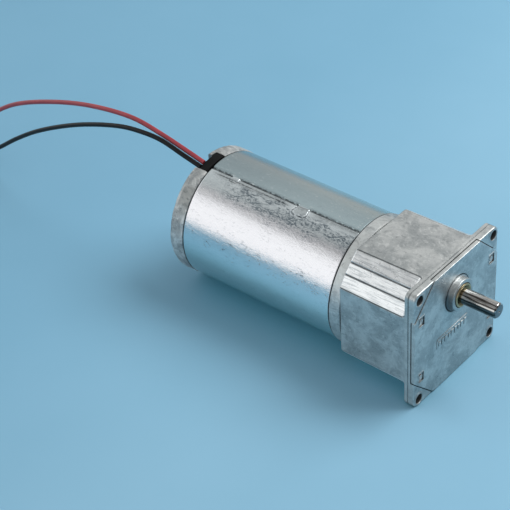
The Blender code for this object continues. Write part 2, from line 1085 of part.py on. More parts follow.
grommet = prism(
    "lead_grommet",
    sector(29.0, 33.5, NOTCH_WIDE_DEG[0] + 0.6, NOTCH_WIDE_DEG[1] - 0.6, 6),
    NOTCH_STEP_X + GAP,
    -144.0,
    "black_plastic",
)
weld(
    grommet,
    prism(
        "tool_grommet_tongue",
        sector(
            NOTCH_FLOOR_R + GAP,
            30.3,
            NOTCH_NARROW_DEG[0] + 0.8,
            NOTCH_NARROW_DEG[1] - 0.8,
            6,
        ),
        -151.6,
        -146.0,
        None,
    ),
)

# ---- tie bolts --------------------------------------------------------------
for k, name in enumerate(("tie_bolt_a", "tie_bolt_b")):
    lathe(
        name,
        [
            (-154.6, 0.0),
            (-154.6, 2.6),
            (-153.8, 3.5),
            (-152.1, 3.5),
            (-152.1, BOLT_R),
            (-44.4, BOLT_R),
            (-44.4, 0.0),
        ],
        "steel",
        centre=from_top(BOLT_CIRCLE_R, BOLT_DEG + 180 * k),
        segs=16,
    )


# ---- leads ------------------------------------------------------------------
def smooth_points(route, spacing):
    """Even points on the centripetal Catmull-Rom curve through the route."""
    pts = [Vector(p) for p in route]
    pts = [pts[0] * 2 - pts[1]] + pts + [pts[-1] * 2 - pts[-2]]
    fine = []
    for i in range(1, len(pts) - 2):
        p0, p1, p2, p3 = pts[i - 1 : i + 3]
        t0 = 0.0
        t1 = t0 + (p1 - p0).length ** 0.5
        t2 = t1 + (p2 - p1).length ** 0.5
        t3 = t2 + (p3 - p2).length ** 0.5
        for k in range(24):
            t = t1 + (t2 - t1) * k / 24
            a1 = p0 * ((t1 - t) / (t1 - t0)) + p1 * ((t - t0) / (t1 - t0))
            a2 = p1 * ((t2 - t) / (t2 - t1)) + p2 * ((t - t1) / (t2 - t1))
            a3 = p2 * ((t3 - t) / (t3 - t2)) + p3 * ((t - t2) / (t3 - t2))
            b1 = a1 * ((t2 - t) / (t2 - t0)) + a2 * ((t - t0) / (t2 - t0))
            b2 = a2 * ((t3 - t) / (t3 - t1)) + a3 * ((t - t1) / (t3 - t1))
            fine.append(b1 * ((t2 - t) / (t2 - t1)) + b2 * ((t - t1) / (t2 - t1)))
    fine.append(pts[-2])
    length = [0.0]
    for a, b in zip(fine, fine[1:]):
        length.append(length[-1] + (b - a).length)
    count = max(2, round(length[-1] / spacing))
    out, j = [], 0
    for i in range(count + 1):
        want = length[-1] * i / count
        while j < len(fine) - 2 and length[j + 1] < want:
            j += 1
        share = (want - length[j]) / (length[j + 1] - length[j])
        out.append(fine[j].lerp(fine[j + 1], min(1.0, share)))
    return out


def tube(name, points, radius, finish):
    curve = bpy.data.curves.new(name, "CURVE")
    curve.dimensions = "3D"
    curve.bevel_depth = radius * MM
    curve.bevel_resolution = 2
    curve.use_fill_caps = True
    spline = curve.splines.new("POLY")
    spline.points.add(len(points) - 1)
    for slot, p in zip(spline.points, points):
        slot.co = (p[0] * MM, p[1] * MM, p[2] * MM, 1.0)
    obj = bpy.data.objects.new(name, curve)
    return link(obj, finish)


for name, route, finish in (
    ("lead_red", RED_ROUTE, "red_pvc"),
    ("lead_black", BLACK_ROUTE, "black_pvc"),
):
    points = smooth_points(route, 6.4)
    tube(name, points, LEAD_R, finish)
    end, before = points[-1], points[-2]
    along = (end - before).normalized()
    tube(
        f"{name}_tinned_end",
        [end + along * GAP, end + along * (GAP + STRIP_LEN)],
        STRIP_R,
        "tinned",
    )
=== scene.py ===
"""Looks of the DC gearmotor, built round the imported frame.

Working sizes below are in millimetres in the row frame: the origin is the
centre of the square mounting face, +X runs out along the shafts and +Z is up.
"""
import json
import math

import bmesh
import bpy
import numpy as np
from mathutils import Matrix, Vector, geometry, noise


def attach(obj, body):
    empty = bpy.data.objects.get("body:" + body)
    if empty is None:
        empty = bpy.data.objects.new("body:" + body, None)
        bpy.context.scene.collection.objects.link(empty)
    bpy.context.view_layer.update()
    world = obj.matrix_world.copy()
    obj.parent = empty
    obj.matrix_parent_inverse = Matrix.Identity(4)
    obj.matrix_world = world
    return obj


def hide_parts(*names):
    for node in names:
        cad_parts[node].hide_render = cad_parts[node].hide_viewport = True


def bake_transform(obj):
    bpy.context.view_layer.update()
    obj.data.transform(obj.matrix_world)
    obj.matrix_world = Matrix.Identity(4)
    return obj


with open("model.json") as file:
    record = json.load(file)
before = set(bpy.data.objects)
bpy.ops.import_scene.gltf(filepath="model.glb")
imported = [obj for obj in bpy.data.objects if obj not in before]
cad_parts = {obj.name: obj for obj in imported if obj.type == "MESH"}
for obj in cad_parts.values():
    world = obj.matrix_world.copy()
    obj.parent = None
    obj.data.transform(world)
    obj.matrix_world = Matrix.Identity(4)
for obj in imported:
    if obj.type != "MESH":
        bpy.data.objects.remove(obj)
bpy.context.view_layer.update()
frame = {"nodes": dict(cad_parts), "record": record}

MM = 0.001
SCN = bpy.context.scene
COL = SCN.collection


# =============================================================================
# camera, floor and light
# =============================================================================
FACE = 0.068  # side of the square face, the unit of the camera's numbers
AZ, EL, ROLL = 41.80, 37.95, -3.72
F_PX, DIST = 1697.7, 11.798
TX, TY = 456.5, 317.3


def camera():
    a, e, r = math.radians(AZ), math.radians(EL), math.radians(ROLL)
    back = Vector(
        (math.sin(a) * math.cos(e), -math.cos(a) * math.cos(e), math.sin(e))
    )
    x = Vector((0, 0, 1)).cross(back).normalized()
    y = back.cross(x)
    x2 = x * math.cos(r) + y * math.sin(r)
    y2 = -x * math.sin(r) + y * math.cos(r)
    rot = Matrix((x2, y2, back)).transposed()
    t = Vector(((TX - 255) / F_PX * DIST, -(TY - 255) / F_PX * DIST, -DIST))
    loc = -(rot @ t) * FACE
    cam = bpy.data.cameras.new("camera")
    cam.sensor_width = 36.0
    cam.lens = F_PX * 36.0 / 510.0
    cam.clip_start, cam.clip_end = 0.01, 30.0
    obj = bpy.data.objects.new("camera", cam)
    obj.matrix_world = Matrix.Translation(loc) @ rot.to_4x4()
    COL.objects.link(obj)
    SCN.camera = obj
    return obj


camera()
FLOOR_Z = -34.0 * MM


def area(name, where, size, power, look=(0, 0, 0), colour=(1, 1, 1), spread=180):
    lamp = bpy.data.lights.new(name, "AREA")
    lamp.shape = "RECTANGLE"
    lamp.size, lamp.size_y = size
    lamp.energy = power
    lamp.color = colour
    lamp.spread = math.radians(spread)
    obj = bpy.data.objects.new(name, lamp)
    obj.location = where
    d = Vector(look) - Vector(where)
    obj.rotation_euler = d.to_track_quat("-Z", "Y").to_euler()
    obj.visible_camera = False
    COL.objects.link(obj)
    return obj


# one large soft panel, high on the far right: it lights the floor, and its
# shadow falls under the near side of the barrel
area("panel_top", (0.42, 0.66, 1.05), (0.85, 0.85), 15.0, (-0.05, 0.0, 0.0))


def build_world():
    """A dim grey room with a bright wall on the near left and a softer one
    on the far left, both as smooth gradients of direction."""
    world = bpy.data.worlds.new("studio")
    SCN.world = world
    world.use_nodes = True
    nt = world.node_tree
    nt.nodes.clear()
    new, link = nt.nodes.new, nt.links.new
    out = new("ShaderNodeOutputWorld")
    bg = new("ShaderNodeBackground")
    tc = new("ShaderNodeTexCoord")

    def facing(direction):
        n = new("ShaderNodeVectorMath")
        n.operation = "DOT_PRODUCT"
        link(tc.outputs["Generated"], n.inputs[0])
        n.inputs[1].default_value = Vector(direction).normalized()
        return n.outputs["Value"]

    def step(value, a, b, low=0.0, high=1.0):
        n = new("ShaderNodeMapRange")
        n.interpolation_type = "SMOOTHSTEP"
        n.inputs["From Min"].default_value = a
        n.inputs["From Max"].default_value = b
        n.inputs["To Min"].default_value = low
        n.inputs["To Max"].default_value = high
        link(value, n.inputs["Value"])
        return n.outputs[0]

    def maths(op, a, b):
        n = new("ShaderNodeMath")
        n.operation = op
        for slot, v in ((0, a), (1, b)):
            if isinstance(v, (int, float)):
                n.inputs[slot].default_value = v
            else:
                link(v, n.inputs[slot])
        return n.outputs[0]

    up = facing((0, 0, 1))
    near_left = maths(
        "MULTIPLY",
        step(facing((-0.60, -0.80, 0.0)), 0.18, 0.55),
        step(up, 0.58, 0.80, 1.0, 0.0),
    )
    far_left = step(facing((-0.62, 0.62, 0.48)), 0.35, 0.95)
    level = maths("ADD", maths("ADD", 0.20, step(up, 0.55, 0.95, 0.0, 0.11)), maths("MULTIPLY", near_left, WALL))
    level = maths("ADD", level, maths("MULTIPLY", far_left, 0.33))
    bg.inputs["Color"].default_value = (0.985, 1.0, 1.0, 1)
    link(level, bg.inputs["Strength"])
    link(bg.outputs[0], out.inputs[0])


WALL = 0.90
build_world()
SCN.view_settings.view_transform = "Standard"
SCN.view_settings.exposure = 0.0


# =============================================================================
# node helpers
# =============================================================================
class Mat:
    """A small wrapper that keeps the node code below short."""

    def __init__(self, name):
        self.mat = bpy.data.materials.new(name)
        self.mat.use_nodes = True
        self.nt = self.mat.node_tree
        self.bsdf = self.nt.nodes["Principled BSDF"]
        tc = self.nt.nodes.new("ShaderNodeTexCoord")
        self.co = tc.outputs["Object"]

    def new(self, kind):
        return self.nt.nodes.new(kind)

    def link(self, a, b):
        self.nt.links.new(a, b)

    def scaled(self, sx, sy, sz):
        """Object coordinates in mm, stretched by the given factors."""
        m = self.new("ShaderNodeMapping")
        m.inputs["Scale"].default_value = (sx * 1000, sy * 1000, sz * 1000)
        self.link(self.co, m.inputs["Vector"])
        return m.outputs[0]

    def noise(self, size, detail=3.0, rough=0.55, stretch=(1, 1, 1), distort=0.0):
        """Noise whose features are about `size` mm across, from 0 to 1."""
        n = self.new("ShaderNodeTexNoise")
        n.inputs["Scale"].default_value = 1.0
        n.inputs["Detail"].default_value = detail
        n.inputs["Roughness"].default_value = rough
        n.inputs["Distortion"].default_value = distort
        s = [c / size for c in stretch]
        self.link(self.scaled(*s), n.inputs["Vector"])
        return n.outputs["Fac"]

    def voronoi(self, size, feature="F1", out="Distance"):
        n = self.new("ShaderNodeTexVoronoi")
        n.feature = feature
        n.inputs["Scale"].default_value = 1.0
        self.link(self.scaled(1 / size, 1 / size, 1 / size), n.inputs["Vector"])
        return n.outputs[out]

    def ramp(self, fac, stops):
        r = self.new("ShaderNodeValToRGB")
        el = r.color_ramp.elements
        while len(el) < len(stops):
            el.new(0.5)
        for e, (pos, col) in zip(el, stops):
            e.position = pos
            if not isinstance(col, tuple):
                col = (col, col, col)
            e.color = (*col, 1)
        self.link(fac, r.inputs[0])
        return r.outputs[0]

    def math(self, op, a, b=None, clamp=False):
        m = self.new("ShaderNodeMath")
        m.operation = op
        m.use_clamp = clamp
        for slot, v in ((0, a), (1, b)):
            if v is None:
                continue
            if isinstance(v, (int, float)):
                m.inputs[slot].default_value = v
            else:
                self.link(v, m.inputs[slot])
        return m.outputs[0]

    def mix(self, fac, a, b, kind="MIX"):
        m = self.new("ShaderNodeMix")
        m.data_type = "RGBA"
        m.blend_type = kind
        if isinstance(fac, (int, float)):
            m.inputs[0].default_value = fac
        else:
            self.link(fac, m.inputs[0])
        for slot, v in ((6, a), (7, b)):
            if isinstance(v, tuple):
                m.inputs[slot].default_value = (*v, 1)
            else:
                self.link(v, m.inputs[slot])
        return m.outputs[2]

    def bump(self, height, distance, strength=1.0, after=None):
        b = self.new("ShaderNodeBump")
        b.inputs["Strength"].default_value = strength
        b.inputs["Distance"].default_value = distance * MM
        self.link(height, b.inputs["Height"])
        if after is not None:
            self.link(after, b.inputs["Normal"])
        return b.outputs[0]

    def axes(self):
        n = self.new("ShaderNodeSeparateXYZ")
        self.link(self.co, n.inputs[0])
        return n.outputs["X"], n.outputs["Y"], n.outputs["Z"]

    def from_top(self):
        """Degrees round the X axis, from the top towards the near side."""
        _, y, z = self.axes()
        turn = self.math("ARCTAN2", self.math("MULTIPLY", y, -1.0), z)
        return self.math("MULTIPLY", turn, 180 / math.pi)

    def step(self, value, a, b, low=0.0, high=1.0):
        n = self.new("ShaderNodeMapRange")
        n.interpolation_type = "SMOOTHSTEP"
        n.inputs["From Min"].default_value = a
        n.inputs["From Max"].default_value = b
        n.inputs["To Min"].default_value = low
        n.inputs["To Max"].default_value = high
        self.link(value, n.inputs["Value"])
        return n.outputs[0]

    def plateau(self, value, a, b, c, d):
        return self.math("MULTIPLY", self.step(value, a, b), self.step(value, c, d, 1.0, 0.0))

    def crevice(self, distance):
        """1 deep in a gap, 0 in the open."""
        n = self.new("ShaderNodeAmbientOcclusion")
        n.samples = 6
        n.inputs["Distance"].default_value = distance * MM
        return self.math("SUBTRACT", 1.0, n.outputs["AO"])

    def attribute(self, name):
        n = self.new("ShaderNodeAttribute")
        n.attribute_name = name
        return n.outputs["Fac"]

    def set(self, **values):
        for key, v in values.items():
            slot = self.bsdf.inputs[key.replace("_", " ")]
            if isinstance(v, (int, float)):
                slot.default_value = v
            elif isinstance(v, tuple):
                slot.default_value = (*v, 1)
            else:
                self.link(v, slot)
        return self


# =============================================================================
# materials
# =============================================================================
def zinc_plate():
    """Bright plated sheet: soft clouds, lines from drawing and dull flecked patches,
    with painted light: a neutral highlight tint, a teal floor reflection below
    it, a darker far side, a highlight round the keys, grime and shade at the
    seam, and shade at the ends and in crevices.

    The flecks gather in a strip beside the seam, where the sheet was worked.
    """
    m = Mat("zinc_plated_steel")
    x, _, _ = m.axes()
    turn = m.from_top()
    clouds = m.noise(20, 2, 0.5, (0.5, 1, 1))
    fleck = m.noise(0.62, 4, 0.72, (0.40, 1, 1), 0.0)
    blot = m.noise(2.3, 4, 0.68, (0.36, 1, 1), 0.15)
    patch = m.noise(9, 3, 0.6, (0.38, 1, 1), 0.5)
    lines = m.noise(0.45, 2, 0.5, (0.03, 1, 1))
    wander = m.math("MULTIPLY", m.math("SUBTRACT", patch, 0.5), 26.0)
    strip = m.plateau(m.math("ADD", turn, wander), 15.0, 20.0, 31.0, 41.0)
    strip = m.math("MULTIPLY", strip, m.step(x, -0.139, -0.118))
    lower = m.plateau(m.math("ADD", turn, wander), 63.0, 70.0, 74.0, 84.0)
    speck = m.math(
        "MULTIPLY", m.step(fleck, 0.42, 0.54), m.step(blot, 0.38, 0.55)
    )
    clump = m.math("MULTIPLY", m.step(fleck, 0.45, 0.58), m.step(blot, 0.50, 0.62))
    clump = m.math("MULTIPLY", clump, m.math("MULTIPLY", lower, m.step(patch, 0.46, 0.56)))
    worn = m.math("MULTIPLY", speck, strip)
    faint = m.math("MULTIPLY", m.step(fleck, 0.50, 0.66), m.step(blot, 0.46, 0.64))
    faint = m.math(
        "MULTIPLY", faint, m.math("ADD", m.math("MULTIPLY", lower, 0.80), 0.26)
    )
    dull = m.math("MAXIMUM", m.math("MAXIMUM", worn, faint), m.math("MULTIPLY", clump, 0.9))
    seam = m.attribute("seam")
    seam = m.math("MULTIPLY", seam, m.step(fleck, 0.34, 0.58, 0.45, 1.15), True)
    base = m.mix(clouds, (0.70, 0.775, 0.80), (0.82, 0.885, 0.91))
    # painted highlight tint: from 27 to 76 degrees down the near side, where the broad highlight lies, the can
    # is painted neutral white
    band_highlight_tint = m.mix(clouds, (0.80, 0.795, 0.825), (0.85, 0.85, 0.88))
    base = m.mix(m.plateau(turn, 27.0, 38.0, 62.0, 76.0), base, band_highlight_tint)
    # painted reflection: from 74 degrees down, the near side is painted teal, the floor's colour in reflection
    base = m.mix(m.step(turn, 74.0, 100.0), base, (0.66, 0.80, 0.80))
    # painted reflection and shade: beyond the seam the top and far side are painted a darker grey-green, darker
    # still towards the rear
    far = m.mix(m.step(turn, -2.0, -32.0), (0.51, 0.63, 0.665), (0.65, 0.68, 0.635))
    far = m.mix(m.math("MULTIPLY", m.step(x, -0.075, -0.140), 0.50), far, (0.34, 0.42, 0.45))
    base = m.mix(m.step(turn, 13.2, 11.5), base, far)
    bright = m.math("MULTIPLY", m.step(fleck, 0.45, 0.33), m.step(blot, 0.52, 0.42))
    base = m.mix(m.math("MULTIPLY", bright, 0.55), base, (0.93, 0.94, 0.945))
    base = m.mix(m.math("MULTIPLY", dull, 0.93), base, (0.13, 0.165, 0.195))
    # painted highlight: the rolled edge round the keys is painted pale and less metallic, for the light it
    # catches
    lip_highlight = m.math("MULTIPLY", m.attribute("lip_highlight"), m.step(fleck, 0.62, 0.42, 0.35, 0.95))
    base = m.mix(lip_highlight, base, (0.74, 0.79, 0.82))
    # grime and painted shade: the seam mask, plus crevices darkened from ambient occlusion
    dirt_and_shade = m.math("MAXIMUM", seam, m.step(m.crevice(1.6), 0.35, 0.8))
    # painted shade: a thin band at each end of the can, where it meets the ring and the cap, is darkened
    ends = m.math("MAXIMUM", m.step(x, -0.05105, -0.05085), m.step(x, -0.14265, -0.14285))
    dirt_and_shade = m.math("MAXIMUM", dirt_and_shade, ends)
    base = m.mix(m.math("MULTIPLY", dirt_and_shade, 0.93), base, (0.05, 0.06, 0.065))
    rough = m.math("ADD", m.math("MULTIPLY", clouds, 0.10), 0.15)
    rough = m.math("ADD", rough, m.math("MULTIPLY", dull, 0.22))
    rough = m.math("ADD", rough, m.math("MULTIPLY", dirt_and_shade, 0.35))
    wave = m.bump(m.noise(14, 2, 0.5, (0.6, 1, 1)), 0.30, 0.5)
    wave = m.bump(blot, 0.15, 0.6, wave)
    grain = m.bump(fleck, 0.085, 0.7, wave)
    normal = m.bump(lines, 0.010, 0.5, grain)
    metal = m.math("SUBTRACT", 1.0, m.math("MULTIPLY", lip_highlight, 0.8))
    m.set(Base_Color=base, Metallic=metal, Roughness=rough, Normal=normal)
    return m.mat


def die_cast(name, light=(0.60, 0.62, 0.615), dark=(0.40, 0.425, 0.43), grit=1.0, rough0=0.30):
    """Raw die-cast zinc: cloudy grey, flow marks, specks and pits, streaky
    facets from drawing on the body's cut corners painted brighter as a painted
    highlight, grime and painted shade darkening every corner, and painted shade
    in the grooves, the holes, the ring's rear joint and the boss foot."""
    m = Mat(name)
    x, y, z = m.axes()
    clouds = m.noise(11, 4, 0.6, (1, 1, 1), 0.6)
    flow = m.noise(2.3, 4, 0.65, (0.8, 1, 1), 1.0)
    fine = m.noise(0.55, 3, 0.6)
    speck = m.noise(0.75, 3, 0.7, (0.8, 1, 1), 0.6)
    pits = m.voronoi(1.5)
    base = m.mix(m.step(clouds, 0.36, 0.66), dark, light)
    base = m.mix(
        m.math("MULTIPLY", m.step(flow, 0.52, 0.68), 0.40 * grit),
        base,
        (0.78, 0.80, 0.79),
    )
    base = m.mix(
        m.math("MULTIPLY", m.step(flow, 0.44, 0.30), 0.48 * grit),
        base,
        (0.21, 0.235, 0.245),
    )
    low = m.math("MULTIPLY", m.step(speck, 0.42, 0.30), m.step(clouds, 0.62, 0.42))
    base = m.mix(m.math("MULTIPLY", low, 0.60), base, (0.15, 0.17, 0.18))
    base = m.mix(m.math("MULTIPLY", m.step(speck, 0.62, 0.74), 0.45), base, (0.86, 0.87, 0.86))
    pit = m.math("MULTIPLY", m.step(pits, 0.16, 0.03), m.step(clouds, 0.5, 0.6))
    base = m.mix(m.math("MULTIPLY", pit, 0.5 * grit), base, (0.14, 0.155, 0.165))
    across = m.math("ADD", m.math("ABSOLUTE", y), m.math("ABSOLUTE", z))
    # painted highlight: the cut-corner facets are painted far brighter than the rest of the casting, for the
    # light they catch; their streaks and lower roughness are the drawn finish
    facet = m.math("MULTIPLY", m.step(across, 0.05245, 0.0530), m.step(x, -0.0058, -0.0078))
    facet = m.math("MULTIPLY", facet, m.step(x, -0.0446, -0.0440))
    streak = m.noise(0.7, 3, 0.6, (0.07, 1, 1), 0.0)
    drawn_facet_highlight = m.mix(m.step(streak, 0.44, 0.66), (0.90, 0.92, 0.93), (0.60, 0.63, 0.65))
    drawn_facet_highlight = m.mix(m.math("MULTIPLY", m.step(flow, 0.45, 0.34), 0.35), drawn_facet_highlight, (0.40, 0.43, 0.45))
    base = m.mix(facet, base, drawn_facet_highlight)
    edge = m.math("MAXIMUM", m.math("ABSOLUTE", y), m.math("ABSOLUTE", z))
    rim = m.math("MULTIPLY", m.step(edge, 0.03368, 0.03392), m.step(x, -0.0064, -0.0058))
    base = m.mix(m.math("MULTIPLY", rim, 0.22), base, (0.74, 0.77, 0.75))
    collar = m.plateau(x, -0.0503, -0.0500, -0.0447, -0.0441)
    base = m.mix(m.math("MULTIPLY", collar, m.step(flow, 0.35, 0.60, 0.0, 0.45)), base, (0.66, 0.70, 0.70))
    # painted shade: a dark crescent round the foot of the boss, on its lower near side
    bz = m.math("SUBTRACT", z, 15.2 * MM)
    reach = m.math("SQRT", m.math("ADD", m.math("MULTIPLY", y, y), m.math("MULTIPLY", bz, bz)))
    aim = m.math("ADD", m.math("MULTIPLY", y, -0.93), m.math("MULTIPLY", bz, -0.37))
    aim = m.math("DIVIDE", aim, reach)
    boss_foot_shade = m.math("MULTIPLY", m.plateau(reach, 0.0078, 0.0088, 0.0095, 0.0104), m.step(aim, 0.30, 0.85))
    boss_foot_shade = m.math("MULTIPLY", boss_foot_shade, m.step(x, -0.004, -0.003))
    base = m.mix(m.math("MULTIPLY", boss_foot_shade, 0.85), base, (0.06, 0.08, 0.09))
    side = m.from_top()
    stain = m.plateau(m.math("ADD", side, m.math("MULTIPLY", flow, 14.0)), 43.0, 47.0, 60.0, 66.0)
    stain = m.math("MULTIPLY", stain, m.step(x, -0.1425, -0.1440))
    stain = m.math("MULTIPLY", stain, m.step(x, -0.1502, -0.1496))
    base = m.mix(m.math("MULTIPLY", stain, 0.50), base, (0.19, 0.20, 0.19))
    # painted shade: the groove bottoms and the ring's rear rounding at the joint with the can are painted near
    # black
    joint = m.plateau(x, -0.0530, -0.0520, -0.05000, -0.04985)
    joint = m.math("MULTIPLY", joint, m.step(x, -0.0600, -0.0560))
    groove_and_joint_shade = m.math("MAXIMUM", m.attribute("groove"), joint)
    base = m.mix(m.math("MULTIPLY", groove_and_joint_shade, m.step(speck, 0.25, 0.45, 0.6, 1.0)), base, (0.05, 0.056, 0.06))
    # grime and painted shade: every corner is darkened from ambient occlusion
    dirt_and_shade = m.step(m.crevice(1.4), 0.24, 0.66)
    base = m.mix(m.math("MULTIPLY", dirt_and_shade, 0.93), base, (0.04, 0.046, 0.05))
    # painted shade: the insides of the flange screw holes are painted near black
    base = m.mix(m.attribute("hole"), base, (0.035, 0.04, 0.043))
    rough = m.math("ADD", m.math("MULTIPLY", flow, 0.20), rough0)
    rough = m.math("ADD", rough, m.math("MULTIPLY", fine, 0.10))
    rough = m.math("SUBTRACT", rough, m.math("MULTIPLY", facet, 0.15))
    rough = m.math("ADD", rough, m.math("MULTIPLY", rim, 0.03))
    rough = m.math("ADD", rough, m.math("MULTIPLY", groove_and_joint_shade, 0.35))
    rough = m.math("ADD", rough, m.math("MULTIPLY", collar, 0.03))
    rough = m.math("ADD", rough, m.math("MULTIPLY", dirt_and_shade, 0.25))
    rough = m.math("ADD", rough, m.math("MULTIPLY", m.attribute("hole"), 0.4))
    calm = m.math("SUBTRACT", 1.0, m.math("MULTIPLY", m.math("MAXIMUM", rim, collar), 0.45))
    wave = m.bump(m.math("MULTIPLY", m.noise(10, 3, 0.5), calm), 0.40, 0.5)
    skin = m.bump(flow, 0.13 * grit, 0.6, wave)
    skin = m.bump(speck, 0.05 * grit, 0.6, skin)
    normal = m.bump(fine, 0.035 * grit, 0.6, skin)
    m.set(Base_Color=base, Metallic=0.92, Roughness=rough, Normal=normal)
    return m.mat


def ground_shaft():
    """Dark ground steel: fine rings, long light and dark streaks that are painted reflections, painted shade on
    the underside, a dull end.
    """
    m = Mat("ground_steel")
    x, y, z = m.axes()
    off = m.math("SUBTRACT", z, 15.2 * MM)
    turn = m.math("ARCTAN2", m.math("MULTIPLY", y, -1.0), off)
    around = m.new("ShaderNodeCombineXYZ")
    m.link(m.math("MULTIPLY", m.math("COSINE", turn), 2.3), around.inputs[0])
    m.link(m.math("MULTIPLY", m.math("SINE", turn), 2.3), around.inputs[1])
    m.link(m.math("MULTIPLY", x, 22.0), around.inputs[2])
    n = m.new("ShaderNodeTexNoise")
    n.inputs["Scale"].default_value = 1.25
    n.inputs["Detail"].default_value = 4.0
    n.inputs["Roughness"].default_value = 0.62
    m.link(around.outputs[0], n.inputs["Vector"])
    reflection_streaks = n.outputs["Fac"]
    tool = m.noise(0.22, 2, 0.5, (1, 0.02, 0.02))
    stain = m.noise(3.0, 3, 0.6)
    # painted reflections: light and dark streaks along the shaft, varying round it
    base = m.mix(m.step(reflection_streaks, 0.43, 0.55), (0.055, 0.052, 0.047), (0.66, 0.655, 0.64))
    base = m.mix(m.math("MULTIPLY", m.step(stain, 0.45, 0.7), 0.3), base, (0.20, 0.19, 0.17))
    # painted shade: the lower near side of the shaft is painted near black
    under = m.step(m.math("COSINE", m.math("SUBTRACT", turn, 2.72)), -0.10, 0.18)
    base = m.mix(m.math("MULTIPLY", under, 0.80), base, (0.035, 0.05, 0.052))
    tip = m.step(x, 0.02305, 0.02322)
    base = m.mix(tip, base, (0.20, 0.215, 0.225))
    rough = m.math("ADD", m.math("MULTIPLY", tool, 0.10), 0.09)
    rough = m.math("ADD", rough, m.math("MULTIPLY", tip, 0.20))
    m.set(Base_Color=base, Metallic=1.0, Roughness=rough, Normal=m.bump(tool, 0.008, 0.5))
    return m.mat


def turned(name, colour, rough, lines=0.25, stretch=(1, 0.02, 0.02), spot=0.3):
    """Machined metal with fine tool lines round the axis and faint stains."""
    m = Mat(name)
    tool = m.noise(lines, 2, 0.5, stretch)
    stain = m.noise(4.0, 3, 0.6)
    dark = tuple(c * (1 - spot) for c in colour)
    base = m.mix(m.ramp(stain, [(0.35, 0.0), (0.7, 1.0)]), colour, dark)
    r = m.math("ADD", m.math("MULTIPLY", tool, 0.10), rough)
    r = m.math("ADD", r, m.math("MULTIPLY", stain, 0.06))
    normal = m.bump(tool, 0.008, 0.5)
    m.set(Base_Color=base, Metallic=1.0, Roughness=r, Normal=normal)
    return m.mat


def plastic(name, colour, rough, grain=0.5, gloss=0.5):
    m = Mat(name)
    fine = m.noise(grain, 3, 0.6)
    cloud = m.noise(7, 3, 0.6)
    light = tuple(min(1.0, c * 1.3 + 0.004) for c in colour)
    base = m.mix(m.ramp(cloud, [(0.35, 0.0), (0.7, 1.0)]), colour, light)
    r = m.math("ADD", m.math("MULTIPLY", fine, 0.16), rough - 0.08)
    normal = m.bump(fine, 0.03, 0.5)
    m.set(Base_Color=base, Roughness=r, Normal=normal)
    m.bsdf.inputs["Specular IOR Level"].default_value = gloss
    return m.mat


def strands(name):
    m = Mat(name)
    tone = m.noise(1.2, 3, 0.6)
    base = m.mix(tone, (0.50, 0.50, 0.49), (0.78, 0.77, 0.74))
    r = m.math("ADD", m.math("MULTIPLY", tone, 0.2), 0.2)
    m.set(Base_Color=base, Metallic=1.0, Roughness=r)
    m.set(Normal=m.bump(m.noise(0.25, 2, 0.5), 0.02, 0.5))
    return m.mat


MATS = {
    "can": zinc_plate(),
    "cast": die_cast("die_cast_zinc"),
    "cast_rough": die_cast(
        "die_cast_zinc_rough", (0.70, 0.71, 0.70), (0.34, 0.36, 0.365), 1.7, 0.46
    ),
    "shaft": ground_shaft(),
    "steel": turned("bright_steel", (0.58, 0.58, 0.59), 0.22),
    "bronze": turned("sintered_bronze", (0.55, 0.43, 0.25), 0.30),
    "brass": turned("brass", (0.74, 0.58, 0.28), 0.25),
    "ferrite": plastic("ferrite", (0.05, 0.05, 0.055), 0.6, 0.3),
    "lamination": turned("laminations", (0.34, 0.34, 0.36), 0.35, 0.5),
    "copper": turned("enamelled_copper", (0.62, 0.25, 0.11), 0.28, 0.9),
    "black_plastic": plastic("black_plastic", (0.004, 0.0045, 0.005), 0.55, 0.5, 0.10),
    "nylon": plastic("nylon", (0.74, 0.71, 0.62), 0.45),
    "carbon": plastic("carbon", (0.035, 0.035, 0.037), 0.55, 0.2),
    "red_pvc": plastic("red_pvc", (0.29, 0.034, 0.045), 0.38, 0.9, 0.45),
    "black_pvc": plastic("black_pvc", (0.003, 0.0035, 0.004), 0.34, 0.9, 0.22),
    "tinned": strands("tinned_strands"),
}

SLOT_MATS = {
    "die_cast_zinc": "cast",
    "zinc_plated_steel": "can",
    "bright_steel": "steel",
    "bronze": "bronze",
    "brass": "brass",
    "ferrite": "ferrite",
    "lamination_steel": "lamination",
    "copper": "copper",
    "black_plastic": "black_plastic",
    "nylon": "nylon",
    "carbon": "carbon",
    "red_pvc": "red_pvc",
    "black_pvc": "black_pvc",
    "tinned_copper": "tinned",
}
for entry in frame["record"]["subparts"]:
    node = frame["nodes"].get(entry["node"])
    if node is None:
        continue
    node.data.materials.clear()
    node.data.materials.append(MATS[SLOT_MATS[entry["material_slot"]]])


# =============================================================================
# mesh helpers (mm in, metres out)
# =============================================================================
def make(name, verts, faces, mat, sharp=30):
    mesh = bpy.data.meshes.new(name)
    mesh.from_pydata([(v[0] * MM, v[1] * MM, v[2] * MM) for v in verts], [], faces)
    bm = bmesh.new()
    bm.from_mesh(mesh)
    bmesh.ops.recalc_face_normals(bm, faces=bm.faces)
    bm.to_mesh(mesh)
    bm.free()
    mesh.shade_smooth()
    mesh.set_sharp_from_angle(angle=math.radians(sharp))
    obj = bpy.data.objects.new(name, mesh)
    COL.objects.link(obj)
    if mat:
        mesh.materials.append(MATS[mat])
    return obj


def from_top(r, deg):
    a = math.radians(deg)
    return (-r * math.sin(a), r * math.cos(a))


